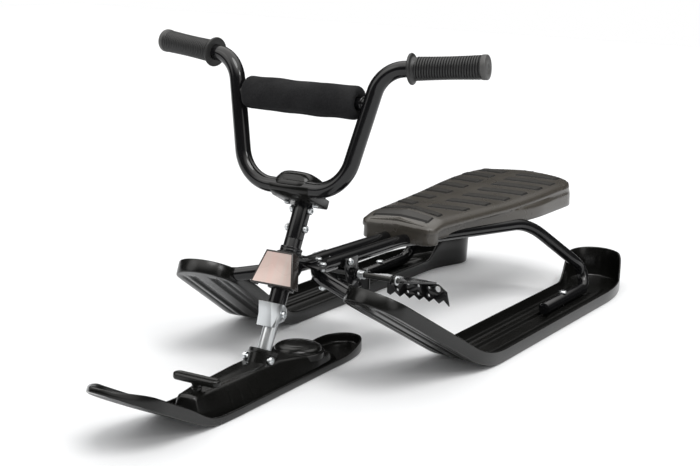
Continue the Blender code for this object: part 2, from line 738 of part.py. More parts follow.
def fork_bracket(hole):
    """Zinc bracket in front of the column, its two ears bolted through it."""
    obj = piece("fork_bracket", upright(fork_wedge(0.0, 0.010, 0.020, 0.075)), ZINC, STEERING)
    boolean(obj, tool("fork_inside", upright(fork_wedge(FORK_PLATE, 0.030, 0.010, 0.090))))
    outline = [(FORK_FRONT_TOP_V - 0.004, 0.0628), (-0.0046, 0.0665), (0.0040, 0.0640),
               (0.0085, 0.0580), (0.0090, 0.0510), (0.0060, 0.0450), (-0.0040, 0.0400),
               (-0.0105, 0.0345), (-0.0120, FORK_LOW_W), (-0.0300, FORK_LOW_W)]
    side = Matrix(((0, 0, 1, 0), (1, 0, 0, 0), (0, 1, 0, 0), (0, 0, 0, 1)))
    profile = prism(outline, 0.060, Matrix.Translation((-0.030, 0, 0)) @ side)
    boolean(obj, tool("fork_outline", upright(profile)), "INTERSECT")
    boolean(obj, hole)
    ear = COLUMN_R + FIT + FORK_PLATE
    seat = on_axis(FORK_BOLT_W, x=ear + FIT)
    nut_h = 0.004
    fastener("fork_bolt", seat, (-1, 0, 0), 2 * ear + 3 * FIT + nut_h + FORK_BOLT_R / 2,
             FORK_BOLT_R, (0.0055, 0.0035), (0.0052, nut_h), STEERING)


PIN_V = (TILT_PIN - AXIS_FOOT).dot(Vector((0, math.cos(RAKE), -math.sin(RAKE))))
PIN_W = (TILT_PIN - AXIS_FOOT).dot(Vector((0, math.sin(RAKE), math.cos(RAKE))))
LUG_R = 0.0065
LUG_HALF = 0.008


def pivot_lug():
    """The eye below the column's foot that the front ski tilts on, with its saddle."""
    obj = piece("pivot_lug", rod(TILT_PIN + Vector((-LUG_HALF, 0, 0)),
                                 TILT_PIN + Vector((LUG_HALF, 0, 0)), LUG_R, 24),
                ZINC, STEERING)
    saddle = box((-LUG_HALF, PIN_V - 0.0035, PIN_W), (LUG_HALF, 0.002, -0.002))
    boolean(obj, tool("lug_saddle", upright(saddle)), "UNION")
    column_rod = rod(on_axis(LOWER_COLUMN_FOOT_W - FIT), on_axis(0.06), LOWER_COLUMN_R + FIT, 24)
    boolean(obj, tool("lug_column", column_rod))
    boolean(obj, tool("lug_bore", rod(TILT_PIN + Vector((-0.03, 0, 0)),
                                      TILT_PIN + Vector((0.03, 0, 0)),
                                      TILT_PIN_R + SLIDE_FIT, 16)))


# Handlebar
def bar_point(x, t, n=0.0):
    """A point of the handlebar's plane, in the sled's frame."""
    v = BAR_V - math.sin(BAR_TILT) * t + math.cos(BAR_TILT) * n
    w = BAR_W + math.cos(BAR_TILT) * t + math.sin(BAR_TILT) * n
    return on_axis(w, v, x)


def leg_x(t):
    """Where a leg of the handlebar stands at height t of its plane."""
    share = t / BAR_UPPER_CORNER.y
    return BAR_LOWER_CORNER_X + (BAR_UPPER_CORNER.x - BAR_LOWER_CORNER_X) * share


def grip_way(side):
    """Unit vector along a grip, outwards."""
    inner = bar_point(side * BAR_UPPER_CORNER.x, BAR_UPPER_CORNER.y)
    return (bar_point(side * BAR_END.x, BAR_END.y, BAR_END.z) - inner).normalized()


def grip_point(side, x):
    """The point of a grip's axis at a distance x from the middle plane."""
    inner = bar_point(side * BAR_UPPER_CORNER.x, BAR_UPPER_CORNER.y)
    way = grip_way(side)
    return inner + way * (x - BAR_UPPER_CORNER.x) / abs(way.x)


def handlebar():
    """The bent bar with its crossbar, the pad on it and the two grips."""
    half = [bar_point(BAR_END.x, BAR_END.y, BAR_END.z),
            bar_point(BAR_UPPER_CORNER.x, BAR_UPPER_CORNER.y), bar_point(BAR_LOWER_CORNER_X, 0.0)]
    corners = half + mirrored(half, -1)[::-1]
    radii = [BAR_UPPER_BEND_R, BAR_LOWER_BEND_R, BAR_LOWER_BEND_R, BAR_UPPER_BEND_R]
    obj = piece("handlebar", swept(bend(corners, radii), BAR_R), PAINTED_STEEL, STEERING)
    reach = leg_x(CROSSBAR_T)
    ends = [bar_point(side * reach, CROSSBAR_T) for side in (-1, 1)]
    boolean(obj, tool("crossbar", rod(*ends, CROSSBAR_R, 16)), "UNION")
    sideways = Vector((1, 0, 0)).to_track_quat("Z", "Y").to_matrix().to_4x4()
    bore = CROSSBAR_R + FIT
    turned("crossbar_pad", [(PAD_R - PAD_CHAMFER, PAD_HALF_LENGTH),
                            (PAD_R, PAD_HALF_LENGTH - PAD_CHAMFER),
                            (PAD_R, PAD_CHAMFER - PAD_HALF_LENGTH),
                            (PAD_R - PAD_CHAMFER, -PAD_HALF_LENGTH),
                            (bore + 0.002, -PAD_HALF_LENGTH), (bore, 0.008 - PAD_HALF_LENGTH),
                            (bore, PAD_HALF_LENGTH - 0.008),
                            (bore + 0.002, PAD_HALF_LENGTH)],
           FOAM, Matrix.Translation(bar_point(0, CROSSBAR_T)) @ sideways, STEERING, 20)
    for label, side in SIDES:
        start = grip_point(side, GRIP_START_X)
        bar_tip = grip_point(side, BAR_END.x)
        depth = (bar_tip - start).length
        top = depth + FIT + GRIP_END_WALL
        place = Matrix.Translation(start) @ grip_way(side).to_track_quat("Z", "Y").to_matrix(
        ).to_4x4()
        bore = BAR_R + FIT
        profile = [(0.0, top), (GRIP_R - 0.003, top), (GRIP_R, top - 0.002), (GRIP_R, 0.010),
                   (GRIP_R - 0.001, 0.006), (GRIP_FLANGE_R - 0.001, 0.004),
                   (GRIP_FLANGE_R, 0.003), (GRIP_FLANGE_R, 0.001), (GRIP_FLANGE_R - 0.001, 0.0),
                   (bore, 0.0), (bore, depth + FIT), (0.0, depth + FIT)]
        turned("grip_" + label, profile, RUBBER, place, STEERING)


# Clamp, in (v, w) beside the steering axis
CLAMP_LOW_W = BAR_W - 0.0137
CLAMP_COVER_W = BAR_W + 0.0243
CLAMP_FRONT_V = -0.050
CLAMP_BACK_V = 0.014


def clamp():
    """The block that holds the bar on the stem: base, hood and two screws from below."""
    side = Matrix(((0, 0, 1, 0), (1, 0, 0, 0), (0, 1, 0, 0), (0, 0, 0, 1)))
    place = Matrix.Translation((-CLAMP_HALF_WIDTH, 0, 0)) @ side
    split = BAR_W
    base_outline = [(CLAMP_FRONT_V + 0.016, CLAMP_LOW_W), (CLAMP_BACK_V, CLAMP_LOW_W),
                    (CLAMP_BACK_V, split - FIT / 2), (CLAMP_FRONT_V, split - FIT / 2),
                    (CLAMP_FRONT_V + 0.003, CLAMP_LOW_W + 0.005)]
    cover_outline = [(CLAMP_FRONT_V, split + FIT / 2), (CLAMP_BACK_V, split + FIT / 2),
                     (CLAMP_BACK_V - 0.003, split + 0.0128), (CLAMP_BACK_V - 0.012, split + 0.0218),
                     (CLAMP_BACK_V - 0.024, CLAMP_COVER_W), (CLAMP_FRONT_V + 0.018, CLAMP_COVER_W),
                     (CLAMP_FRONT_V + 0.006, split + 0.0193),
                     (CLAMP_FRONT_V + 0.001, split + 0.0118)]
    bar = tool("clamp_bar_bore", rod(bar_point(-0.05, 0), bar_point(0.05, 0), BAR_R + FIT, 24))
    stem = tool("clamp_stem_bore", rod(on_axis(CLAMP_LOW_W - 0.02), on_axis(STEM_TOP_W + FIT),
                                       COLUMN_R + FIT, 24))
    screw_v = -0.006
    holes = tool("clamp_screw_holes", merged(*[
        rod(on_axis(CLAMP_LOW_W - 0.01, screw_v, s * 0.023),
            on_axis(CLAMP_LOW_W + 0.0265, screw_v, s * 0.023), 0.0028, 12) for _, s in SIDES]))
    for name, outline in (("clamp_base", base_outline), ("clamp_cover", cover_outline)):
        obj = piece(name, upright(prism(outline, 2 * CLAMP_HALF_WIDTH, place)), BLACK_PLASTIC,
                    STEERING)
        round_edges(obj, 0.002)
        boolean(obj, bar)
        boolean(obj, holes)
        if name == "clamp_base":
            boolean(obj, stem)
    for label, s in SIDES:
        fastener("clamp_screw_" + label, on_axis(CLAMP_LOW_W - FIT, screw_v, s * 0.023),
                 on_axis(1) - on_axis(0), 0.026, 0.0025, (0.0045, 0.003), None, STEERING)


# Head: the bracket with the head tube, its bushes, plate and cover
HEAD_BORE_R = 0.0152
HEAD_PLATE_X = 0.0160
HEAD_PLATE_T = 0.0030
COVER_FRONT_V = -0.027
COVER_WALL = 0.0025
COVER_LOW_W = 0.0866
COVER_TOP_W = 0.1349
COVER_LOW_HALF = 0.0344
COVER_TOP_HALF = 0.0217
COVER_DEPTH = 0.018
TOP_PLATE_T = 0.003
HEAD_BOLT_REAR_Y = -0.155
HEAD_BOLT_FRONT_X = 0.040


def backbone_top():
    """Height of the flat that lies on the two tubes at the head."""
    return BACKBONE_FRONT_Z + FRAME_TUBE_R


def head():
    """Head tube on two side plates, bushes, the plate over the tubes and the cover."""
    tube = piece("head_bracket", rod(on_axis(HEAD_TUBE_LOW_W - 0.004),
                                     on_axis(HEAD_TUBE_TOP_W + 0.004), HEAD_TUBE_R, 28),
                 PAINTED_STEEL)
    plate_low = backbone_top() + TOP_PLATE_T + 2 * FIT
    front_v = COVER_FRONT_V + COVER_WALL + FIT
    under_cover_w = COVER_TOP_W - COVER_WALL - FIT
    top_back = on_axis(under_cover_w, COVER_FRONT_V + COVER_DEPTH + FIT)
    top_front = on_axis(under_cover_w, front_v)
    low_front = on_axis(HEAD_TUBE_LOW_W, front_v)
    side_outline = [(top_back.y, top_back.z), (top_front.y, top_front.z),
                    (low_front.y, low_front.z), (-0.222, 0.136),
                    (-0.199, 0.150), (-0.196, plate_low + 0.0004), (-0.168, plate_low + 0.0004),
                    (-0.168, plate_low + 0.0018), (-0.178, plate_low + 0.005)]
    side = Matrix(((0, 0, 1, 0), (1, 0, 0, 0), (0, 1, 0, 0), (0, 0, 0, 1)))
    for x in (HEAD_PLATE_X, -HEAD_PLATE_X - HEAD_PLATE_T):
        bm = prism(side_outline, HEAD_PLATE_T, Matrix.Translation((x, 0, 0)) @ side)
        boolean(tube, tool("head_side", bm), "UNION")
    foot = box((-0.026, -0.186, plate_low), (0.026, -0.1665, plate_low + 0.0025))
    boolean(tube, tool("head_foot", foot), "UNION")
    boolean(tube, tool("head_bore", rod(on_axis(0.06), on_axis(0.16), HEAD_BORE_R, 28)))
    faced_r = HEAD_TUBE_R + 0.001 + FIT
    faces = [rod(on_axis(HEAD_TUBE_TOP_W), on_axis(HEAD_TUBE_TOP_W + 0.02), faced_r, 28),
             rod(on_axis(HEAD_TUBE_LOW_W - 0.02), on_axis(HEAD_TUBE_LOW_W), faced_r, 28)]
    boolean(tube, tool("head_faces", merged(*faces)))
    for label, end, way in (("upper", HEAD_TUBE_TOP_W, 1), ("lower", HEAD_TUBE_LOW_W, -1)):
        flange = end + way * FIT
        levels = [(flange + way * HEAD_FLANGE, "rim"), (flange, "rim"), (flange, "sleeve"),
                  (end - way * 0.012, "sleeve")]
        radii = {"rim": HEAD_TUBE_R + 0.001, "sleeve": HEAD_BORE_R - FIT}
        outer = [(radii[kind], w) for w, kind in levels]
        bore = COLUMN_R + SLIDE_FIT
        if way > 0:
            profile = outer + [(bore, levels[-1][0]), (bore, levels[0][0])]
        else:
            profile = outer[::-1] + [(bore, levels[0][0]), (bore, levels[-1][0])]
        turned("head_bush_" + label, profile, BLACK_PLASTIC, STEER_FRAME)
    z = backbone_top() + FIT
    half = [(0.0, -0.146), (0.027, -0.146), (0.032, -0.165), (0.050, -0.182), (0.046, -0.201),
            (0.026, -0.193), (0.0, -0.178)]
    outline = half + [(-x, y) for x, y in half[1:-1][::-1]]
    plate = piece("head_top_plate", prism(outline, TOP_PLATE_T, Matrix.Translation((0, 0, z))),
                  PAINTED_STEEL)
    seat_z = z + TOP_PLATE_T + FIT
    places = []
    for number, at in ((1, tube_at(HEAD_BOLT_REAR_Y)), (2, tube_at(HEAD_BOLT_FRONT_X, 0))):
        length = seat_z - at.z + FRAME_TUBE_R + 0.0075
        for side_label, s in SIDES:
            places.append((s * at.x, at.y))
            fastener("head_plate_bolt_%s_%d" % (side_label, number), (s * at.x, at.y, seat_z),
                     (0, 0, -1), length, 0.0025, (0.005, 0.003), (0.005, 0.004))
    holes = tool("head_plate_holes", merged(*[rod((x, y, 0.12), (x, y, 0.18), 0.0028, 12)
                                              for x, y in places]))
    boolean(plate, holes)
    for label, _ in SIDES:
        boolean(bpy.data.objects["frame_tube_" + label], holes)
    cover()


def trapezoid(inset, low, high, front, back):
    """The cover's outline as a solid from front to back, in (x, v, w)."""
    rings = []
    for v in (front, back):
        ring = []
        for sign, w in ((-1, low), (1, low), (1, high), (-1, high)):
            share = (w - COVER_LOW_W) / (COVER_TOP_W - COVER_LOW_W)
            half = COVER_LOW_HALF + (COVER_TOP_HALF - COVER_LOW_HALF) * share - inset
            ring.append((sign * half, v, w))
        rings.append(ring)
    return loft(rings)


def cover():
    """Bare name-plate cover in front of the head tube."""
    back = COVER_FRONT_V + COVER_DEPTH
    obj = piece("head_cover", upright(trapezoid(0.0, COVER_LOW_W, COVER_TOP_W, COVER_FRONT_V,
                                                back)), COVER_PLASTIC)
    round_edges(obj, 0.0012)
    inside = trapezoid(COVER_WALL, COVER_LOW_W - 0.01, COVER_TOP_W - COVER_WALL,
                       COVER_FRONT_V + COVER_WALL, back + 0.01)
    boolean(obj, tool("cover_inside", upright(inside)))
    boolean(obj, tool("cover_collar", rod(on_axis(0.06), on_axis(0.16), HEAD_TUBE_R + 0.002, 28)))


# Front ski with its housing
def front_half(s):
    """Half width of the front ski's tray at s."""
    tail_half = 0.0395
    if s > FRONT_TAIL_START_Y:
        tail = (s - FRONT_TAIL_START_Y) / (FRONT_SKI_TAIL_Y - FRONT_TAIL_START_Y)
        return tail_half * max(0.0, 1.0 - min(1.0, tail) ** 3) ** 0.5
    if s > -0.380:
        share = (FRONT_TAIL_START_Y - s) / (FRONT_TAIL_START_Y + 0.380)
        return tail_half + (FRONT_SKI_HALF_WIDTH - tail_half) * share
    tip = min(1.0, max(0.0, (s - FRONT_TIP_S) / FRONT_TIP_LENGTH))
    return FRONT_SKI_HALF_WIDTH * math.sin(math.pi / 2 * tip) ** 0.75


def front_pitch(s):
    """Slope of the front ski's middle line."""
    rise = 1 - ramp(s, FRONT_SHOVEL_Y - FRONT_SHOVEL_REACH, FRONT_SHOVEL_Y + FRONT_SHOVEL_REACH)
    ease = (FRONT_SHOVEL_SLOPE - FRONT_TIP_SLOPE) * ramp(-s, -FRONT_SHOVEL_Y, 0.620)
    return -(FRONT_SHOVEL_SLOPE - ease) * rise


def front_tip():
    """Length along the middle line to the tip, whose end is at half the sled's length."""
    s = 0.0
    y = 0.0
    while y > -LENGTH / 2:
        s -= 0.0005
        y -= 0.0005 * math.cos(front_pitch(s))
    return s


FRONT_TIP_S = front_tip()


def front_rise(y):
    """Height of the front ski's sole at y."""
    s = 0.0
    at = 0.0
    height = 0.0
    while at > y:
        s -= 0.0005
        at -= 0.0005 * math.cos(front_pitch(s))
        height -= 0.0005 * math.sin(front_pitch(s))
    return height


def front_ski():
    """The front ski, a narrow tray with a raised shovel and a round tail."""
    tail_s = FRONT_SKI_TAIL_Y
    stations = [FRONT_TIP_S + d for d in (0.0, 0.002, 0.006, 0.013, 0.023, 0.036, 0.054, 0.080)]
    bend_at = [FRONT_SHOVEL_Y + FRONT_SHOVEL_REACH * d for d in (-1.9, -1.0, -0.6, -0.25, 0.05,
                                                                 0.4, 0.75, 1.15)]
    stations += [s for s in bend_at if s > stations[-1] + 0.004]
    stations += [-0.260, FRONT_TAIL_START_Y]
    stations += [tail_s - d for d in (0.090, 0.060, 0.036, 0.018, 0.007, 0.0018, 0.0)]

    def fade(s):
        return ramp(s, FRONT_TIP_S + 0.024, FRONT_TIP_S + 0.050) * (1 - ramp(s, -0.475, -0.452))

    def rim(u, s):
        shovel = FRONT_SKI_RIM + (FRONT_SHOVEL_RIM - FRONT_SKI_RIM) * ramp(-s, 0.425, 0.500)
        shovel += (FRONT_TAIL_RIM - FRONT_SKI_RIM) * ramp(s, -0.112, -0.045)
        return FRONT_TIP_RIM + (shovel - FRONT_TIP_RIM) * ramp(s, FRONT_TIP_S, FRONT_TIP_S + 0.070)

    ridges = [(u, 0.006, 0.0025) for u in (-0.020, 0.0, 0.020)]
    span = (FRONT_TIP_S + 0.036, -0.452)
    line = MiddleLine((0, 0, 0), front_pitch, lambda s: 0.0, FRONT_TIP_S, tail_s)
    ski_tray(stations, front_half, ridges, span, fade, rim, 0.0, line, "front_ski", TILT,
             FRONT_SKI_WALL)


HOUSING_BASE_Z = FRONT_SKI_WALL + FIT
HOUSING_SECTIONS = (              # y, half width at the base, half width on top, height on top
    (HOUSING_FRONT_Y, 0.020, 0.014, 0.034), (-0.400, 0.030, 0.016, 0.037),
    (-0.340, 0.040, 0.018, 0.039), (-0.307, 0.0410, 0.020, 0.040),
    (-0.250, 0.0392, 0.022, 0.040), (-0.215, 0.0382, 0.028, 0.036),
    (-0.174, 0.037, 0.033, 0.030), (-0.140, 0.035, 0.030, 0.026),
    (HOUSING_REAR_Y, 0.030, 0.020, 0.016))


def hood(inset, low):
    """The housing's outer form, or its inside when inset."""
    rings = []
    last = len(HOUSING_SECTIONS) - 1
    for i, (y, base, top, height) in enumerate(HOUSING_SECTIONS):
        y += inset * ((i == 0) - (i == last))
        foot = low + 1.3 * front_rise(y)
        rings.append([(-base + inset, y, foot), (-top + inset * 0.6, y, height - inset),
                      (top - inset * 0.6, y, height - inset), (base - inset, y, foot)])
    return loft(rings)


def socket(inset, low, high, base):
    """A round post along the steering axis, above the ski's floor."""
    bm = rod(on_axis(low), on_axis(high), SOCKET_R - inset, 22)
    cut = bmesh.ops.bisect_plane(bm, geom=bm.verts[:] + bm.edges[:] + bm.faces[:],
                                 plane_co=(0, 0, base), plane_no=(0, 0, 1),
                                 clear_inner=True)
    edges = [e for e in cut["geom_cut"] if isinstance(e, bmesh.types.BMEdge)]
    bmesh.ops.edgenet_fill(bm, edges=edges)
    return bm


def housing():
    """Hood with the column's socket, the reel's cover and the pin, all fixed to the front ski."""
    wall = HOUSING_WALL
    obj = piece("ski_housing", hood(0.0, HOUSING_BASE_Z), BLACK_PLASTIC, TILT)
    outside = tool("socket_outside", socket(0.0, -0.060, SOCKET_TOP_W, HOUSING_BASE_Z + 0.004))
    boolean(obj, outside, "UNION")
    boolean(obj, tool("hood_inside", hood(wall, HOUSING_BASE_Z - 0.002)))
    shell = tool("socket_shell", socket(0.0008, -0.060, SOCKET_TOP_W - 0.0030, HOUSING_BASE_Z))
    boolean(shell, tool("socket_inside", socket(wall, -0.080, 0.020, 0.0)))
    boolean(obj, shell, "UNION")
    boolean(obj, bpy.data.objects["socket_inside"])
    pin_hole = tool("pin_hole", rod(TILT_PIN + Vector((-0.04, 0, 0)),
                                    TILT_PIN + Vector((0.04, 0, 0)), TILT_PIN_R + FIT, 14))
    boolean(obj, pin_hole)
    seats = [rod(TILT_PIN + Vector((side * PIN_SEAT_X, 0, 0)),
                 TILT_PIN + Vector((side * 0.040, 0, 0)), 0.0077, 18) for _, side in SIDES]
    boolean(obj, tool("pin_seats", merged(*seats)))
    ledge_z = REEL_COVER_TOP_Z - 0.017
    seat = rod((0, REEL_Y, ledge_z - 0.0032), (0, REEL_Y, ledge_z - FIT), REEL_COVER_R + 0.001, 24)
    ledge = tool("reel_ledge", seat)
    boolean(ledge, tool("reel_ledge_hole", rod((0, REEL_Y, 0), (0, REEL_Y, 0.05), REEL_R + 0.003,
                                               20)))
    boolean(obj, ledge, "UNION")
    boolean(obj, tool("reel_opening", rod((0, REEL_Y, ledge_z - FIT), (0, REEL_Y, 0.06),
                                          REEL_COVER_R + FIT, 24)))
    reel(ledge_z)
    seat_x = PIN_SEAT_X + FIT
    fastener("pivot_bolt", TILT_PIN + Vector((seat_x, 0, 0)), (-1, 0, 0), 2 * seat_x + 0.007,
             TILT_PIN_R, (0.0058, 0.0035), None, TILT, 12)
    nut = piece("pivot_nut", rod(TILT_PIN + Vector((-seat_x - 0.005, 0, 0)),
                                 TILT_PIN + Vector((-seat_x, 0, 0)), 0.0065, 6), ZINC, TILT)
    boolean(nut, pin_hole)
    return obj


def reel(ledge_z):
    """Domed cover with its boss, the pin under it and the reel that turns on the pin."""
    top = REEL_COVER_TOP_Z
    boss_z = 0.0225
    profile = [(0.0, top), (0.012, top - 0.0003), (0.024, top - 0.0018), (0.031, top - 0.0045),
               (REEL_COVER_R, top - 0.009), (REEL_COVER_R, ledge_z), (REEL_COVER_R - 0.0025, ledge_z),
               (REEL_COVER_R - 0.0025, top - 0.0095), (0.024, top - 0.0045), (0.006, top - 0.003),
               (0.006, boss_z), (0.0, boss_z)]
    turned("reel_cover", profile, BLACK_PLASTIC, Matrix.Translation((0, REEL_Y, 0)), TILT, 24)
    low = 0.0080
    turned("reel_pin", [(0.0, boss_z - FIT), (0.003, boss_z - FIT), (0.003, low), (0.006, low),
                        (0.006, low - 0.0015), (0.0, low - 0.0015)], ZINC,
           Matrix.Translation((0, REEL_Y, 0)), TILT, 12)
    bottom = low + SLIDE_FIT
    upper = bottom + REEL_HEIGHT
    bore = 0.003 + SLIDE_FIT
    turned("cord_reel", [(REEL_R, upper), (REEL_R, upper - 0.0015), (REEL_R - 0.010, upper - 0.0015),
                         (REEL_R - 0.010, bottom + 0.0015), (REEL_R, bottom + 0.0015),
                         (REEL_R, bottom), (bore, bottom), (bore, upper)], BLACK_PLASTIC,
           Matrix.Translation((0, REEL_Y, 0)), REEL, 18)


def pull_handle(nose):
    """The tow handle, a short bar on a neck that stands on the housing's spigot."""
    y = HANDLE_Y
    top = HANDLE_Z + HANDLE_THICK
    neck_low = 0.0395
    spigot_r = 0.0035
    neck_r = 0.0065
    outline = []
    for i in range(20):
        a = 2 * math.pi * i / 20
        r = HANDLE_DEPTH / 2
        cx = math.copysign(HANDLE_HALF - r, math.cos(a))
        outline.append((cx + r * math.cos(a), r * math.sin(a)))
    bar = prism(outline, HANDLE_THICK, Matrix.Translation((0, y, HANDLE_Z)))
    obj = piece("pull_handle", bar, BLACK_PLASTIC, HANDLE)
    round_edges(obj, 0.003, 2, 50)
    neck = rod((0, y, neck_low), (0, y, HANDLE_Z + 0.002), neck_r, 16)
    boolean(obj, tool("handle_neck", neck), "UNION")
    boolean(obj, tool("handle_socket", rod((0, y, 0.02), (0, y, top - 0.003),
                                           spigot_r + SLIDE_FIT, 16)))
    boolean(nose, tool("nose_boss", rod((0, y, 0.032), (0, y, neck_low - FIT), neck_r, 16)),
            "UNION")
    boolean(nose, tool("spigot", rod((0, y, 0.0325), (0, y, top - 0.004), spigot_r, 16)), "UNION")


def housing_screws():
    """Two screws up through the front ski into posts of the housing."""
    housing_obj = bpy.data.objects["ski_housing"]
    for label, y, top in (("front", -0.330, 0.0378), ("rear", -0.124, 0.0190)):
        post = tool("screw_post_" + label, rod((0, y, HOUSING_BASE_Z), (0, y, top), 0.0055, 12))
        boolean(housing_obj, post, "UNION")
        hole = tool("screw_hole_" + label, rod((0, y, -0.01), (0, y, 0.0145), 0.0023, 10))
        boolean(housing_obj, hole)
        boolean(bpy.data.objects["front_ski"], hole)
        piece("housing_screw_" + label, rod((0, y, 0.0012), (0, y, 0.0140), 0.0020, 10), ZINC,
              TILT)


# Seat
def seat_half(y):
    """Half width of the seat's upper edge."""
    return SEAT_FRONT_HALF + (0.1005 - SEAT_FRONT_HALF) * ramp(y, 0.040, SEAT_WIDEST_Y + 0.06)


def panel_half(y):
    """Half width of the seat's lower wall."""
    waist = SEAT_WAIST_HALF + (SEAT_WIDEST_HALF - SEAT_WAIST_HALF) * ramp(y, 0.110, SEAT_WIDEST_Y)
    return waist + (SEAT_FRONT_HALF - SEAT_WAIST_HALF) * (1 - ramp(y, 0.118, 0.134))


def capped(y, half, front_r, rear_r, front, rear):
    """Half width with the corners of the front and of the rear rounded."""
    d_front, d_rear = y - front, rear - y
    if d_front < front_r:
        return half - front_r + math.sqrt(max(0.0, front_r ** 2 - (front_r - d_front) ** 2))
    if d_rear < rear_r:
        share = 1 - d_rear / rear_r
        return half * max(0.0, 1 - share ** 3.0) ** 0.45
    return half


def seat_edge(y):
    """Height of the seat's upper edge, a little higher at the rear."""
    return SEAT_EDGE_Z + SEAT_REAR_RISE * ramp(y, 0.300, 0.520)


def seat_spine(y):
    """Height of the seat's middle line."""
    front = ramp(y, SEAT_FRONT_Y, SEAT_FRONT_Y + 0.045)
    rear = ramp(y, SEAT_REAR_Y - 0.040, SEAT_REAR_Y)
    return seat_edge(y) + SEAT_CROWN * (0.45 + 0.55 * front) * (1 - 0.4 * rear)


def seat_stations():
    """Stations along the seat, close together at its round ends."""
    front = [SEAT_FRONT_Y + 0.018 * (1 - math.cos(math.pi / 2 * i / 4)) for i in range(5)]
    middle = [0.121, 0.131, 0.160, 0.215, 0.270, 0.325, 0.380, 0.430, 0.480]
    start = SEAT_REAR_Y - 0.065
    rear = [start + 0.065 * math.sin(math.pi / 2 * i / 6) for i in range(7)]
    return front + middle + rear


def seat_ring(inset, height, half):
    """A closed outline round the seat at one level, drawn in by inset."""
    right = []
    front = SEAT_FRONT_Y + inset
    rear = SEAT_REAR_Y - inset
    for y in seat_stations():
        at = min(max(y, front), rear)
        stretch = (at - front) / (rear - front)
        base = SEAT_FRONT_Y + stretch * (SEAT_REAR_Y - SEAT_FRONT_Y)
        x = max(0.0, capped(base, half(at), 0.018, 0.065, SEAT_FRONT_Y, SEAT_REAR_Y) - inset)
        right.append((x, at, height(at)))
    return right + [(-x, y, z) for x, y, z in right[::-1]]


def seat_roof(x, y):
    """Height of the seat's top at (x, y)."""
    half = max(0.02, seat_half(y))
    share = min(1.0, abs(x) / half)
    drop = (share ** 1.25) * 0.80 + 0.20 * share ** 6
    return seat_spine(y) - (seat_spine(y) - seat_edge(y)) * drop


def seat():
    """The hollow seat, open below, with its grooves, bosses and the tubes' cut-outs."""
    rings = [seat_ring(0.0, lambda y: SEAT_RIM_Z, panel_half),
             seat_ring(0.0, lambda y: SEAT_RIM_Z + 0.021, panel_half),
             seat_ring(0.0, lambda y: seat_edge(y) - 0.008, seat_half),
             seat_ring(0.0005, lambda y: seat_edge(y) - 0.003, seat_half)]
    bm = bmesh.new()
    rows = [[bm.verts.new(p) for p in ring] for ring in rings]
    count = len(rings[0])
    roof = rings[-1]
    for level in (0.96, 0.76, 0.42, 0.0):
        ring = []
        for x, y, _ in roof:
            depth = 1 - level
            middle = (SEAT_FRONT_Y + SEAT_REAR_Y) / 2
            reach = (SEAT_REAR_Y - SEAT_FRONT_Y) / 2
            end = abs(y - middle) / reach
            y_in = y - math.copysign(min(depth, 0.10) * 0.05 * end ** 6, y - middle)
            ring.append((x * level, y_in, seat_roof(x * level, y_in) - 0.0012 * (level > 0.95)))
        rows.append([bm.verts.new(p) for p in ring])
    for a, b in zip(rows, rows[1:]):
        for i in range(count):
            j = (i + 1) % count
            bm.faces.new((a[i], a[j], b[j], b[i]))
    bmesh.ops.remove_doubles(bm, verts=bm.verts, dist=0.00005)
    bmesh.ops.dissolve_degenerate(bm, edges=bm.edges, dist=0.00005)
    bmesh.ops.recalc_face_normals(bm, faces=bm.faces)
    highest = max(bm.faces, key=lambda f: f.calc_center_median().z)
    if highest.normal.z < 0:
        bmesh.ops.reverse_faces(bm, faces=bm.faces)
    mesh = bpy.data.meshes.new("seat")
    bm.to_mesh(mesh)
    bm.free()
    mesh.materials.append(SEAT_PLASTIC)
    smooth_shade(mesh)
    obj = bpy.data.objects.new("seat", mesh)
    PARTS.objects.link(obj)
    shell = obj.modifiers.new("wall", "SOLIDIFY")
    shell.thickness = SEAT_WALL
    shell.offset = -1.0
    boolean(obj, tool("seat_slots", merged(*seat_slots())))
    return obj


def seat_slot(inner, outer, start, length, sweep):
    """A shallow slot of the seat's top: it runs out from the spine and back."""
    corners = [(inner, start), (outer, start + sweep), (outer, start + sweep + length),
               (inner, start + length)]
    low = [(x, y, seat_roof(x, y) - SEAT_SLOT_DEPTH) for x, y in corners]
    high = [(x, y, seat_roof(x, y) + 0.006) for x, y in corners]
    return loft([low, high])


def seat_slots():
    """Chevron slots each side of the spine, closer together towards the rear."""
    slots = []
    for side in (-1, 1):
        for i in range(SEAT_SLOTS):
            middle = SEAT_SLOT_FIRST_Y + SEAT_SLOT_PITCH * i - SEAT_SLOT_CLOSING * i * i
            start = middle - (SEAT_SLOT_SWEEP + SEAT_SLOT_WIDTH) / 2
            outer = seat_half(middle) - 0.013 - 0.012 * ramp(middle, 0.500, 0.540)
            slots.append(seat_slot(side * 0.013, side * outer, start, SEAT_SLOT_WIDTH,
                                   SEAT_SLOT_SWEEP))
    return slots


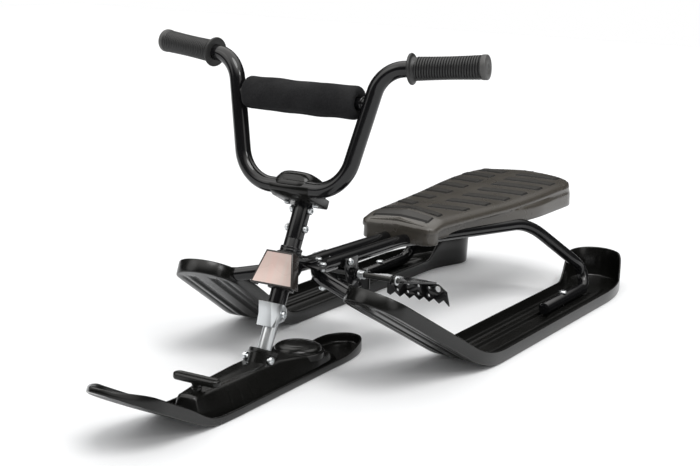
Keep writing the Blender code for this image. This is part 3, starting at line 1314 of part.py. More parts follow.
def seat_mounts(seat_obj):
    """Straps across the tubes, bosses in the seat and the screws between them."""
    for label, y in (("front", 0.132), ("rear", 0.300)):
        at = tube_at(y)
        low = at.z + FRAME_TUBE_R + FIT
        top = low + 0.0025
        reach = at.x - 0.002
        strap = piece("seat_strap_" + label, box((-reach, y - 0.011, low), (reach, y + 0.011, top)),
                      PAINTED_STEEL)
        boss = tool("seat_boss_" + label, rod((0, y, top + FIT),
                                              (0, y, seat_roof(0, y) - SEAT_WALL / 2), 0.007, 16))
        boolean(seat_obj, boss, "UNION")
        fastener("seat_screw_" + label, (0, y, low - FIT), (0, 0, 1), 0.014, 0.002,
                 (0.0045, 0.0025), None, None, 10)
        hole = tool("seat_screw_hole_" + label, rod((0, y, low - 0.01), (0, y, low + 0.0145),
                                                    0.0023, 10))
        boolean(strap, hole)
        boolean(seat_obj, hole)
    for label, side in SIDES:
        boolean(seat_obj, tool("seat_tube_cut_" + label,
                               swept(frame_path(side), FRAME_TUBE_R + 0.0012)))


# Brake
BRAKE_BOLT_Y = -0.087
BRAKE_BOLT_Z = 0.1453


def brake():
    """Bracket under the frame tubes, axle with clips, springs and the two toothed plates."""
    cheek_t = 0.0025
    outer = BRAKE_CHEEK_X + cheek_t
    outline = [(-0.098, 0.151), (-0.063, 0.151), (-0.061, 0.130), (-0.064, 0.112),
               (-0.074, 0.1075), (-0.086, 0.112), (-0.096, 0.130)]
    side = Matrix(((0, 0, 1, 0), (1, 0, 0, 0), (0, 1, 0, 0), (0, 0, 0, 1)))
    plates = [prism(outline, cheek_t, Matrix.Translation((x, 0, 0)) @ side)
              for x in (BRAKE_CHEEK_X, -outer)]
    web = box((-outer + 0.0005, -0.095, 0.1312), (outer - 0.0005, -0.064, 0.1340))
    obj = piece("brake_bracket", web, PAINTED_STEEL)
    boolean(obj, tool("brake_cheeks", merged(*plates)), "UNION")
    axle_hole = rod(BRAKE_AXLE + Vector((-0.05, 0, 0)), BRAKE_AXLE + Vector((0.05, 0, 0)),
                    BRAKE_AXLE_R + SLIDE_FIT, 16)
    boolean(obj, tool("brake_axle_hole", axle_hole))
    bolt_line = (Vector((outer + FIT, BRAKE_BOLT_Y, BRAKE_BOLT_Z)), Vector((-1, 0, 0)))
    bolt_hole = tool("brake_bolt_hole", rod(bolt_line[0] + Vector((0.02, 0, 0)),
                                            bolt_line[0] - Vector((0.08, 0, 0)), 0.0033, 12))
    boolean(obj, bolt_hole)
    for label, _ in SIDES:
        boolean(bpy.data.objects["frame_tube_" + label], bolt_hole)
    fastener("brake_bracket_bolt", bolt_line[0], bolt_line[1], 2 * outer + 3 * FIT + 0.006,
             0.003, (0.0055, 0.004), (0.0055, 0.0045))
    piece("brake_axle", rod(BRAKE_AXLE + Vector((-BRAKE_AXLE_HALF, 0, 0)),
                            BRAKE_AXLE + Vector((BRAKE_AXLE_HALF, 0, 0)), BRAKE_AXLE_R, 16),
          ZINC, BRAKE)
    clip = BRAKE_AXLE_HALF - 0.002
    bore = tool("clip_bore", rod(BRAKE_AXLE + Vector((-0.11, 0, 0)),
                                 BRAKE_AXLE + Vector((0.11, 0, 0)), BRAKE_AXLE_R + FIT, 16))
    for label, s in SIDES:
        ring = piece("axle_clip_" + label, rod(BRAKE_AXLE + Vector((s * (clip - 0.0015), 0, 0)),
                                               BRAKE_AXLE + Vector((s * clip, 0, 0)), 0.0068, 16),
                     ZINC, BRAKE)
        boolean(ring, bore)
    for label, s in SIDES:
        brake_plate(label, s)
        brake_spring(label, s)


def brake_plate(label, s):
    """One brake plate: a tread to step on, and a blade with teeth that hangs from it."""
    t = BRAKE_PLATE
    end = BRAKE_TREAD_END
    tread_front = Vector((0, -0.052, 0.1195))
    lean = (end.z - tread_front.z) / (end.y - tread_front.y)
    inner, wide = BRAKE_INNER_X, 0.100
    side = Matrix(((0, 0, 1, 0), (1, 0, 0, 0), (0, 1, 0, 0), (0, 0, 0, 1)))
    profile = [(tread_front.y, tread_front.z), (end.y, end.z), (end.y, end.z - t),
               (tread_front.y, tread_front.z - t)]
    x0 = inner if s > 0 else -wide
    tread = prism(profile, wide - inner, Matrix.Translation((x0, 0, 0)) @ side)
    obj = piece("brake_plate_" + label, tread, PAINTED_STEEL, BRAKE)
    front = Matrix(((1, 0, 0, 0), (0, 0, 1, 0), (0, 1, 0, 0), (0, 0, 0, 1)))
    low = BRAKE_TOOTH_Z
    pitch = (BRAKE_OUTER_X - inner - 0.006) / BRAKE_TEETH
    blade = [(inner, end.z), (0.083, end.z), (0.104, end.z - 0.0035), (0.118, end.z - 0.013),
             (BRAKE_OUTER_X, low - 0.002)]
    for i in range(BRAKE_TEETH):
        x = BRAKE_OUTER_X - pitch * (i + 1)
        blade += [(x + pitch * 0.45, low + 0.0065), (x, low)]
    blade.append((inner, low + 0.003))
    outline = [(s * x, z) for x, z in blade]
    body = prism(outline, t, Matrix.Translation((0, end.y - t / 2, 0)) @ front)
    boolean(obj, tool("blade_" + label, body), "UNION")
    for i, x in enumerate((0.0325, 0.0930)):
        ear = [(BRAKE_AXLE.y - 0.0068, BRAKE_AXLE.z + 0.002),
               (BRAKE_AXLE.y - 0.0045, BRAKE_AXLE.z + 0.0062),
               (BRAKE_AXLE.y + 0.003, BRAKE_AXLE.z + 0.0070), (tread_front.y + 0.018, 0.1165),
               (tread_front.y + 0.018, 0.1130), (BRAKE_AXLE.y + 0.002, BRAKE_AXLE.z - 0.0075),
               (BRAKE_AXLE.y - 0.0060, BRAKE_AXLE.z - 0.0050)]
        place = Matrix.Translation((s * x - (t if s < 0 else 0.0), 0, 0)) @ side
        boolean(obj, tool("brake_ear_%s_%d" % (label, i), prism(ear, t, place)), "UNION")
    boolean(obj, tool("brake_eye_" + label, rod(BRAKE_AXLE, BRAKE_AXLE + Vector((s * 0.12, 0, 0)),
                                                BRAKE_AXLE_R + FIT, 16)))
    holes = [rod((s * x, end.y - 0.01, z), (s * x, end.y + 0.01, z), 0.0025, 6)
             for x in (0.034, 0.052, 0.070, 0.088) for z in (0.088, 0.076)]
    holes.append(rod((s * 0.103, end.y - 0.01, 0.088), (s * 0.103, end.y + 0.01, 0.088), 0.005,
                     12))
    boolean(obj, tool("blade_holes_" + label, merged(*holes)))


SPRING_WIRE_R = 0.0007
SPRING_CURLS = 5
SPRING_POINTS = 8


def brake_spring(label, s):
    """Torsion spring round the axle, with one leg against the bracket and one under the tread."""
    radius = BRAKE_AXLE_R + SPRING_WIRE_R + SLIDE_FIT
    start = 0.0375
    pitch = 2 * SPRING_WIRE_R + 0.0007
    centre = BRAKE_AXLE
    path = []
    for i in range(SPRING_CURLS * SPRING_POINTS + 1):
        a = 2 * math.pi * i / SPRING_POINTS
        x = start + pitch * i / SPRING_POINTS
        path.append(Vector((s * x, centre.y + radius * math.cos(a), centre.z + radius * math.sin(a))))
    tail = path[0] + Vector((0, 0, -0.009))
    lead = path[-1] + Vector((0, 0, 0.009))
    path = [tail] + path + [lead]
    piece("brake_spring_" + label, swept(path, SPRING_WIRE_R, 1), ZINC)
    if s > 0:
        print("least gap between curls of the brake spring: %.2f mm" % (
            1000 * (pitch - 2 * SPRING_WIRE_R)))


for ski_label, ski_side in SIDES:
    rear_ski(ski_label, ski_side)
frame_tubes()
ski_bolts()
bolt_hole_fork = column()
fork_bracket(bolt_hole_fork)
pivot_lug()
handlebar()
clamp()
head()
front_ski()
ski_housing = housing()
pull_handle(ski_housing)
housing_screws()
seat_mounts(seat())
brake()
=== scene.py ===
"""Looks of the steering sled: smooth tubes, moulded skis and seat, ribbed grips, plated fittings,
and the white studio that it stands in. Lengths are in metres unless a comment says millimetres."""
import json
from math import atan, ceil, copysign, cos, exp, floor, pi, radians, sin, sqrt, tan

import bmesh
import bpy
import numpy as np
from mathutils import Matrix, Vector


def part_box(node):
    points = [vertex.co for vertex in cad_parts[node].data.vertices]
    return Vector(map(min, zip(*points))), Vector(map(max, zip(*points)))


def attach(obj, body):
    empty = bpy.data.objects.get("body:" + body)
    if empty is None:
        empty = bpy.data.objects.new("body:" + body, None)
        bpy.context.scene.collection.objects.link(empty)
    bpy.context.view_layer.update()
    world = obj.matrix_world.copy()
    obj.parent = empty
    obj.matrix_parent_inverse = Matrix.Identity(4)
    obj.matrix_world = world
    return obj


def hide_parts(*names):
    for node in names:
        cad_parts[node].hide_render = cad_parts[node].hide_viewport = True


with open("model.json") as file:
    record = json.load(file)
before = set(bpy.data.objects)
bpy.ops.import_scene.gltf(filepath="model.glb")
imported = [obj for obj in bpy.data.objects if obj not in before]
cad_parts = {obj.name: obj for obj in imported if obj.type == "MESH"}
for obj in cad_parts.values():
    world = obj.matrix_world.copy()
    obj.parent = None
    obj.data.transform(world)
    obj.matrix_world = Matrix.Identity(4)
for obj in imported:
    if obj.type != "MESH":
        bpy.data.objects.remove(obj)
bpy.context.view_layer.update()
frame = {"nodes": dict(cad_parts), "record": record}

BODY = {node: body for body, nodes in frame["record"]["behaviour"]["bodies"].items()
        for node in nodes}
SLOT_OF = {part["node"]: part["material_slot"] for part in frame["record"]["subparts"]}
SIDES = (("left", 1), ("right", -1))
MM = 0.001
SAME_PLACE = 0.000005
DOWN, TO_RIGHT = (0, 0, -1), (-1, 0, 0)

# The leaned-back steering axis, the ski's pivot, the brake's axle, the reel and the tow handle
RAKE = radians(25.6)
AXIS_FOOT = Vector((0.0, -0.2586, 0.049))
LEAN = Matrix.Translation(AXIS_FOOT) @ Matrix.Rotation(-RAKE, 4, "X")
PIVOT = Vector((0.0, -0.271, 0.0415))
AXLE = Vector((0.0, -0.075, 0.126))
REEL = Matrix.Translation((0, -0.174, 0))
HANDLE_Y = -0.408
HANDLE = Matrix.Translation((0, HANDLE_Y, 0))


# Materials
class Nodes:
    """A tree of shader nodes, built up node by node."""

    def __init__(self, tree):
        self.tree = tree

    def node(self, kind, **inputs):
        made = self.tree.nodes.new("ShaderNode" + kind)
        for key, value in inputs.items():
            made.inputs[key.replace("_", " ")].default_value = value
        return made

    def link(self, source, target):
        self.tree.links.new(source, target)

    def maths(self, operation, first, second, kind="Math"):
        made = self.node(kind)
        made.operation = operation
        self.link(first, made.inputs[0])
        self.link(second, made.inputs[1])
        return made.outputs["Value"]

    def spread(self, source, low, high, start=0.3, end=0.7, smooth=False):
        """Map a factor that runs from start to end to a range."""
        made = self.node("MapRange", From_Min=start, From_Max=end, To_Min=low, To_Max=high)
        made.interpolation_type = "SMOOTHSTEP" if smooth else "LINEAR"
        self.link(source, made.inputs["Value"])
        return made.outputs["Result"]


class Paint(Nodes):
    """A Principled material in object coordinates."""

    def __init__(self, name, colour, roughness, metallic=0.0, slot=None, shine=0.5):
        self.material = bpy.data.materials.new(name)
        self.material.use_nodes = True
        super().__init__(self.material.node_tree)
        self.shader = self.tree.nodes["Principled BSDF"]
        for key, value in (("Base Color", (*colour, 1.0)), ("Roughness", roughness),
                           ("Metallic", metallic), ("Specular IOR Level", shine)):
            self.shader.inputs[key].default_value = value
        self.slot = slot or name
        self.place = self.node("TexCoord").outputs["Object"]
        self.bump = None

    def feed(self, key, source):
        """Let a source set an input of the shader."""
        self.link(source, self.shader.inputs[key])

    def noise(self, scale, detail=3.0, stretch=None):
        """Uneven patches, drawn out along the axes where stretch is below 1."""
        place = self.place
        if stretch:
            mapping = self.node("Mapping", Scale=stretch)
            self.link(place, mapping.inputs["Vector"])
            place = mapping.outputs["Vector"]
        made = self.node("TexNoise", Scale=scale, Detail=detail, Roughness=0.55)
        self.link(place, made.inputs["Vector"])
        return made.outputs["Fac"]

    def mix(self, factor, first, second):
        """Mix two colours by a factor."""
        made = self.tree.nodes.new("ShaderNodeMix")
        made.data_type = "RGBA"
        made.inputs["A"].default_value = (*first, 1.0)
        made.inputs["B"].default_value = (*second, 1.0)
        self.link(factor, made.inputs["Factor"])
        return made.outputs["Result"]

    def relief(self, source, strength, distance):
        """Add a bump on top of what is there."""
        made = self.node("Bump", Strength=strength, Distance=distance)
        self.link(source, made.inputs["Height"])
        if self.bump:
            self.link(self.bump, made.inputs["Normal"])
        self.bump = made.outputs["Normal"]
        self.feed("Normal", self.bump)

    def edge(self, radius):
        """1 along edges and 0 on flat places."""
        rounded = self.node("Bevel", Radius=radius)
        rounded.samples = 4
        agreement = self.maths("DOT_PRODUCT", rounded.outputs["Normal"],
                               self.node("NewGeometry").outputs["Normal"], "VectorMath")
        return self.spread(agreement, 1.0, 0.0, 0.80, 0.995)


def worn(name, colour, edge_colour, roughness, spread, grain, depth, metallic=0.0, slot=None,
         wear=0.0012, shine=0.5):
    """A finish with uneven gloss, fine grain and edges a little lighter from use."""
    paint = Paint(name, colour, roughness, metallic, slot, shine)
    patches = paint.spread(paint.noise(38.0, 5.0), 0.15, 1.0, 0.35, 0.65)
    rubbed = paint.maths("MULTIPLY", paint.edge(wear), patches)
    paint.feed("Base Color", paint.mix(rubbed, colour, edge_colour))
    paint.feed("Roughness",
               paint.spread(paint.noise(9.0, 6.0), roughness - spread, roughness + spread))
    paint.relief(paint.noise(grain, 4.0), 0.35, depth)
    return paint


COAT = worn("painted_steel", (0.005, 0.005, 0.0055), (0.020, 0.019, 0.018), 0.15, 0.05, 900.0,
            0.00005, shine=0.42)
PLASTIC = worn("black_plastic", (0.005, 0.005, 0.0045), (0.018, 0.018, 0.017), 0.22, 0.06, 1300.0,
               0.00005, shine=0.32)
SEAT_FINISH = worn("seat_plastic", (0.052, 0.046, 0.038), (0.085, 0.076, 0.064), 0.28, 0.05,
                   1800.0, 0.00012, wear=0.002)
SEAT_TREAD = worn("seat_tread", (0.013, 0.0115, 0.0095), (0.022, 0.019, 0.016), 0.46, 0.06,
                  1500.0, 0.00016, slot="seat_plastic", shine=0.35)
# Painted shade: a near-black colour laid on the sloped walls round the seat's tread bars, where
# shade falls on them
SEAT_BAR_WALL_SHADE = worn("seat_bar_wall_painted_shade", (0.005, 0.0045, 0.004), (0.008, 0.007, 0.006), 0.60, 0.05,
                   1500.0, 0.00010, slot="seat_plastic", shine=0.20)
DARK_STEEL = worn("dark_steel", (0.05, 0.05, 0.048), (0.14, 0.14, 0.135), 0.34, 0.08, 700.0,
                  0.00005, 1.0, slot="zinc")
ZINC = worn("zinc", (0.62, 0.64, 0.65), (0.80, 0.81, 0.82), 0.30, 0.09, 700.0, 0.00004, 1.0)
RUBBER = worn("rubber", (0.011, 0.011, 0.011), (0.026, 0.026, 0.026), 0.50, 0.08, 1500.0, 0.00010)
CAP = worn("grip_cap", (0.060, 0.059, 0.057), (0.11, 0.11, 0.105), 0.52, 0.07, 1500.0, 0.00008,
           slot="rubber")
BORDER = worn("cover_border", (0.020, 0.016, 0.014), (0.055, 0.047, 0.042), 0.24, 0.05, 800.0,
              0.00004, slot="cover_plastic")


def plate_finish():
    """The bare cover: soft beige with faint warm bands down it."""
    paint = Paint("cover_plastic", (0.58, 0.44, 0.40), 0.27)
    bands = paint.spread(paint.noise(60.0, 2.0, (1.0, 0.05, 0.08)), 0.0, 1.0)
    paint.feed("Base Color", paint.mix(bands, (0.62, 0.44, 0.39), (0.56, 0.47, 0.42)))
    paint.feed("Roughness", paint.spread(paint.noise(12.0), 0.22, 0.34))
    paint.relief(paint.noise(900.0), 0.3, 0.00004)
    return paint


def foam_finish():
    """The pad's soft cover: woven threads and a little fluff."""
    paint = Paint("foam_cover", (0.010, 0.010, 0.011), 0.80, shine=0.22)
    threads = []
    for axis in ("X", "Y"):
        wave = paint.node("TexWave", Scale=260.0, Distortion=0.6, Detail=1.0)
        wave.bands_direction = axis
        paint.link(paint.place, wave.inputs["Vector"])
        threads.append(wave.outputs["Fac"])
    paint.relief(paint.maths("ADD", *threads), 0.35, 0.00018)
    paint.relief(paint.noise(70.0, 5.0), 0.5, 0.0005)
    fluff = paint.spread(paint.noise(420.0, 4.0), 0.0, 1.0)
    paint.feed("Base Color", paint.mix(fluff, (0.003, 0.003, 0.0035), (0.010, 0.010, 0.011)))
    paint.feed("Roughness", paint.spread(paint.noise(30.0), 0.72, 0.90))
    return paint


COVER = plate_finish()
FOAM = foam_finish()


# Making pieces
def shown(name, data):
    """An object of its own in the scene."""
    obj = bpy.data.objects.new(name, data)
    bpy.context.scene.collection.objects.link(obj)
    return obj


def weld(bm, reach=SAME_PLACE):
    bmesh.ops.remove_doubles(bm, verts=bm.verts, dist=reach)


def add(name, bm, paint, node, angle=38):
    """A finished piece from a bmesh. It rides on its node's body and stands for the node."""
    weld(bm)
    bmesh.ops.dissolve_degenerate(bm, edges=bm.edges, dist=SAME_PLACE)
    bmesh.ops.recalc_face_normals(bm, faces=bm.faces)
    mesh = bpy.data.meshes.new(name)
    bm.to_mesh(mesh)
    bm.free()
    mesh.materials.append(paint.material)
    mesh.shade_smooth()
    mesh.set_sharp_from_angle(angle=radians(angle))
    obj = shown(name, mesh)
    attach(obj, BODY[node])
    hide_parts(node)
    return obj


def join(*meshes):
    """Several bmeshes as one."""
    whole = bmesh.new()
    for bm in meshes:
        scratch = bpy.data.meshes.new("scratch")
        bm.to_mesh(scratch)
        bm.free()
        whole.from_mesh(scratch)
        bpy.data.meshes.remove(scratch)
    return whole


def moved(bm, place):
    """A bmesh put in its place by a matrix."""
    bmesh.ops.transform(bm, matrix=place, verts=bm.verts)
    return bm


def pointing(place, way):
    """A matrix that puts local Z along way at a place."""
    return Matrix.Translation(place) @ Vector(way).to_track_quat("Z", "Y").to_matrix().to_4x4()


def turns(count):
    """Angles of a full turn in equal steps."""
    return [2 * pi * k / count for k in range(count)]


def skin(rings, caps=True):
    """Faces between rings of points."""
    bm = bmesh.new()
    rows = [[bm.verts.new(p) for p in ring] for ring in rings]
    count = len(rings[0])
    for a, b in zip(rows, rows[1:]):
        for i in range(count):
            j = (i + 1) % count
            bm.faces.new((a[i], a[j], b[j], b[i]))
    if caps:
        bm.faces.new(rows[0][::-1])
        bm.faces.new(rows[-1])
    return bm


def sweep(path, radii, sides):
    """A round bar along a path; radii is one radius or one for each point."""
    path = [Vector(p) for p in path]
    if isinstance(radii, float):
        radii = [radii] * len(path)
    last = len(path) - 1
    across = None
    rings = []
    for i, (place, radius) in enumerate(zip(path, radii)):
        way = (path[min(last, i + 1)] - path[max(0, i - 1)]).normalized()
        if across is None:
            across = way.orthogonal().normalized()
        across = (across - way * across.dot(way)).normalized()
        other = way.cross(across)
        rings.append([place + (across * cos(a) + other * sin(a)) * radius
                      for a in turns(sides)])
    return skin(rings)


def bar(path, radius, sides=28, soft=0.0008):
    """A round bar with its two ends' edges rounded."""
    path = [Vector(p) for p in path]
    first = (path[1] - path[0]).normalized()
    final = (path[-1] - path[-2]).normalized()
    ends = ((0.0, soft), (soft * 0.3, soft * 0.3), (soft, 0.0))
    whole = [path[0] + first * step for step, _ in ends] + path[1:-1]
    whole += [path[-1] - final * step for step, _ in ends[::-1]]
    radii = [radius - cut for _, cut in ends] + [radius] * (len(path) - 2)
    radii += [radius - cut for _, cut in ends[::-1]]
    return sweep(whole, radii, sides)


def bend(corners, radii, turn_step=radians(4)):
    """A path through corners, each inner one rounded by an arc of its radius."""
    corners = [Vector(c) for c in corners]
    path = [corners[0]]
    for before, corner, after, radius in zip(corners, corners[1:], corners[2:], radii):
        back = (before - corner).normalized()
        ahead = (after - corner).normalized()
        half = back.angle(ahead) / 2
        middle = corner + (back + ahead).normalized() * radius / sin(half)
        first = corner + back * radius / tan(half) - middle
        final = corner + ahead * radius / tan(half) - middle
        whole = first.angle(final)
        steps = max(2, ceil(whole / turn_step))
        for i in range(steps + 1):
            share = i / steps
            arm = first * sin((1 - share) * whole) + final * sin(share * whole)
            path.append(middle + arm / sin(whole))
    path.append(corners[-1])
    return path


def lathe(profile, place, steps=48):
    """(radius, height) points spun round Z; both ends on the axis or both off it."""
    bm = bmesh.new()
    verts = [bm.verts.new((r, 0.0, z)) for r, z in profile]
    edges = [bm.edges.new(pair) for pair in zip(verts, verts[1:])]
    if profile[0][0] > 0:
        edges.append(bm.edges.new((verts[-1], verts[0])))
    bmesh.ops.spin(bm, geom=verts + edges, cent=(0, 0, 0), axis=(0, 0, 1), angle=2 * pi,
                   steps=steps, use_merge=True)
    weld(bm)
    bmesh.ops.recalc_face_normals(bm, faces=bm.faces)
    return moved(bm, place)


def soft_profile(corners, size):
    """A (radius, height) line in millimetres with its inner corners rounded."""
    flat = bend([(r * MM, 0.0, z * MM) for r, z in corners], [size * MM] * (len(corners) - 2),
                radians(30))
    return [(max(0.0, p.x), p.z) for p in flat]


def turned(name, node, paint, corners, soft=0.6, place=LEAN, steps=48):
    """A turned piece from (radius, height) corners in millimetres."""
    add(name, lathe(soft_profile(corners, soft), place, steps), paint, node)


def band(inner, outer, low, high):
    """Corners of a plain ring's section."""
    return [(inner, low), (outer, low), (outer, high), (inner, high)]


def ramp(value, start, end):
    """0 before start, 1 after end, smooth between them."""
    share = np.clip((value - start) / (end - start), 0.0, 1.0)
    return share * share * (3.0 - 2.0 * share)


def mirrored(points):
    return [Vector((-p[0], p[1], p[2])) for p in points]


def on_axis(w, v=0.0, x=0.0):
    """The point w along the steering axis, v behind it and x to the side."""
    return LEAN @ Vector((x, v, w))


def solid_form(node):
    """A solid's own form with its flat faces made whole."""
    bm = bmesh.new()
    bm.from_mesh(frame["nodes"][node].data)
    weld(bm, 0.00001)
    bmesh.ops.dissolve_limit(bm, angle_limit=radians(1.0), verts=bm.verts, edges=bm.edges)
    return bm


def crisp(node, paint, width=0.0004, segments=2):
    """A solid's own form with its sharp edges rounded."""
    bm = solid_form(node)
    edges = [e for e in bm.edges if e.is_manifold and e.calc_face_angle() > radians(32)]
    bmesh.ops.bevel(bm, geom=edges, offset=width, offset_type="OFFSET", segments=segments,
                    profile=0.5, affect="EDGES", clamp_overlap=True, material=-1)
    add(node + "_body", bm, paint, node, 34)


# Skis
class MiddleLine:
    """A ski's middle line along its sole; s runs towards the tail."""

    STEP = 0.002

    def __init__(self, pitch, yaw, start, end, fixed_s, fixed_place):
        self.pitch, self.yaw = pitch, yaw
        self.first = floor(start / self.STEP) - 6
        place = Vector((0.0, 0.0, 0.0))
        self.places = []
        for i in range(self.first, ceil(end / self.STEP) + 18):
            self.places.append(place.copy())
            place = place + self.direction((i + 0.5) * self.STEP) * self.STEP
        step = Vector(fixed_place) - self.places[round(fixed_s / self.STEP) - self.first]
        for point in self.places:
            point += step

    def direction(self, s):
        """Which way the line runs at s."""
        p, y = self.pitch(s), self.yaw(s)
        return Vector((sin(y) * cos(p), cos(y) * cos(p), sin(p)))

    def place(self, u, s, h):
        """The point u to the side of s and h above the sole."""
        i = floor(s / self.STEP)
        base = self.places[i - self.first].lerp(self.places[i + 1 - self.first],
                                                s / self.STEP - i)
        side = Vector((cos(self.yaw(s)), -sin(self.yaw(s)), 0.0))
        return base + side * u + side.cross(self.direction(s)) * h


# A tray's rings from the sole's edge up the rim, over it and down to the floor: how far in, the
# share of the rim's height, and the height above that. All but the share are in millimetres.
RIM_RINGS = ((1.6, 0, 0), (0.5, 0, 0.4), (0, 0, 1.6), (0, 0.5, 0), (0, 1, -1.4), (0.4, 1, -0.4),
             (1.3, 1, 0), (1.7, 1, 0), (2.6, 1, -0.4), (3, 1, -1.4), (3, 0.5, 2), (3, 0, 5.8),
             (3.9, 0, 4), (5.8, 0, 3))
TRAY_FLOOR = 0.003


def tray(half, stations, line, rim, relief, sole, columns, flare=None):
    """A moulded tray. Its rings run along columns of the sole to its edge, up the rim, over it
    and down to the floor, and then along columns of the floor. relief(u, s) is the height of
    the floor's ridges and sole(u, s) the depth of the grooves under them. Columns are in mm."""
    columns = [column * MM for column in columns]
    edge = np.array([(half(s), s) for s in stations])
    way = np.gradient(edge, axis=0)
    normal = np.stack([way[:, 1], -way[:, 0]], axis=1)
    normal /= np.linalg.norm(normal, axis=1)[:, None]
    normal[0], normal[-1] = (0, -1), (0, 1)
    middle = int(np.argmax(edge[:, 0] > edge[:, 0].max() * 0.98))
    right, left = [], []

    def inset(distance):
        """The edge moved in, with its ends on the middle line and its points in order."""
        ring = edge - normal * distance
        ring[:, 0] = np.maximum(ring[:, 0], 0.0)
        ring[0, 0] = ring[-1, 0] = 0.0
        ring[:, 1] = np.maximum.accumulate(ring[:, 1])
        tail = ring[middle:, 1]
        ring[middle:, 1] = np.minimum.accumulate(tail[::-1])[::-1]
        return ring

    def lines(order, ring, base, form):
        """Points along columns inside a ring; their form fades out towards it."""
        for column in order:
            row = []
            for outer, s in ring:
                u = min(column, outer)
                row.append((u, s, base + form(u, s) * float(ramp(outer - column, 0.0, 0.006))))
            right.append(row)
            left.append([(-u, s, z) for u, s, z in row])

    lines(columns[::-1], inset(RIM_RINGS[0][0] * MM), 0.0, sole)
    for distance, share, height in RIM_RINGS:
        ring = inset(distance * MM)
        for sign, rows in ((1, right), (-1, left)):
            rows.append([(sign * u, s, share * rim(sign * u, s) + height * MM) for u, s in ring])
    lines(columns, inset(RIM_RINGS[-1][0] * MM), TRAY_FLOOR, relief)
    rings = []
    for a, b in zip(right, left):
        rings.append([line.place(u, s + (flare(u, s, z) if flare else 0.0), z)
                      for u, s, z in a + b[1:-1][::-1]])
    bm = skin(rings, caps=False)
    bm.verts.ensure_lookup_table()
    count = len(stations)
    total = 2 * count - 2
    for first in (0, (len(rings) - 1) * total):
        ring = bm.verts[first:first + total]
        bm.faces.new((ring[0], ring[1], ring[-1]))
        for i in range(1, count - 2):
            bm.faces.new((ring[i], ring[i + 1], ring[total - i - 1], ring[total - i]))
        bm.faces.new((ring[count - 2], ring[count - 1], ring[count]))
    return bm


def ridge(u, centre, half_base, half_top, height):
    """Height of a rounded ridge that runs along the ski."""
    return height * (1.0 - float(ramp(abs(u - centre), half_top, half_base)))


SKI_X, SKI_HALF, TIP_S, TAIL_S = 0.1765, 0.0475, -0.2775, 0.6096
RIM_LOW, RIM_RISE = 0.020, 0.035
RIDGE_U, SMALL_RIDGE_U = 0.0165, 0.0330


def ski_half(s):
    over = max(TIP_S + SKI_HALF - s, s - TAIL_S + SKI_HALF, 0.0)
    return sqrt(max(0.0, SKI_HALF ** 2 - over ** 2))


def ski_line(side):
    """The same middle line that the solid ski follows."""
    def pitch(s):
        shovel = -radians(29.6) * (1 - ramp(s, -0.0595, 0.0505))
        return float(shovel + radians(3) * ramp(s, TAIL_S - 0.070, TAIL_S))

    def yaw(s):
        tip = radians(11.3) * (1 - ramp(s, -0.047, 0.023))
        return float(side * (tip - radians(20) * ramp(s, 0.430, TAIL_S - 0.050)))

    return MiddleLine(pitch, yaw, TIP_S, TAIL_S, 0.100, (side * SKI_X, 0.100, 0.0))


def round_end(centre, radius, sign):
    return [centre + sign * radius * sin(pi / 2 * i / 16) for i in range(17)]


def rear_skis():
    """Two rear skis: deep trays with ridges that bed the tube, and raised tails."""
    stations = round_end(TIP_S + SKI_HALF, SKI_HALF, -1)[::-1]
    stations += list(np.arange(TIP_S + SKI_HALF + 0.012, -0.074, 0.012))
    stations += list(np.arange(-0.070, 0.060, 0.005)) + list(np.arange(0.070, 0.420, 0.018))
    stations += list(np.arange(0.426, TAIL_S - SKI_HALF - 0.004, 0.008))
    stations += round_end(TAIL_S - SKI_HALF, SKI_HALF, 1)
    columns = (36.5, 35, 34, 33, 32, 31, 29.5, 26.5, 24, 22.5, 21.2, 20, 18.8, 16.5, 14.2, 13,
               11.8, 10.5, 9.2, 7.8, 7, 6.2, 3)
    for label, side in SIDES:
        def rim(u, s):
            share = ramp(u * side, -SKI_HALF, SKI_HALF)
            rise = ramp(s, 0.458, 0.512) * (1 - share) + ramp(s, 0.525, 0.585) * share
            return float(RIM_LOW + RIM_RISE * rise)

        def flare(u, s, z):
            high = rim(u, s)
            return float(0.2 * (high - RIM_LOW) * ramp(s, TAIL_S - 0.060, TAIL_S) * z / high)

        def relief(u, s):
            run = float(ramp(s, TIP_S + 0.028, TIP_S + 0.062) * (1 - ramp(s, 0.500, 0.532)))
            bed = float(ramp(s, 0.292, 0.300) * (1 - ramp(s, 0.470, 0.480)))
            high = ridge(u, RIDGE_U, 0.0070, 0.0030, 0.0050) * run
            high += ridge(u, SMALL_RIDGE_U, 0.0030, 0.0010, 0.0016) * run
            return high + ridge(u, 0.0, 0.0075, 0.0060, 0.0042) * bed

        def sole(u, s):
            run = float(ramp(s, TIP_S + 0.016, TIP_S + 0.050) * (1 - ramp(s, -0.020, 0.030)))
            deep = ridge(u, RIDGE_U, 0.0075, 0.0042, 0.0032)
            return (deep + ridge(u, SMALL_RIDGE_U, 0.0030, 0.0012, 0.0016)) * run

        bm = tray(ski_half, stations, ski_line(side), rim, relief, sole, columns, flare)
        add("rear_ski_tray_" + label, bm, PLASTIC, "rear_ski_" + label, 50)


def front_pitch(s):
    rise = 1 - ramp(s, -0.474, -0.394)
    ease = radians(-3) * ramp(-s, 0.433, 0.620)
    return float(-(radians(25) - ease) * rise)


def front_tip():
    """How far along its middle line the front ski's tip lies."""
    s = y = 0.0
    while y > FRONT_TIP_Y:
        s -= FINE_STEP
        y -= FINE_STEP * cos(front_pitch(s))
    return s


FINE_STEP, FRONT_TIP_Y, FRONT_TAIL_S = 0.0005, -0.610, -0.020
FRONT_TIP_S = front_tip()
TAIL_FROM_S, SHOVEL_FROM_S, TIP_LENGTH = -0.140, -0.380, 0.088
TAIL_HALF, SHOVEL_HALF = 0.0395, 0.0465
FRONT_RIDGES = (0.0, 0.0135, 0.027)


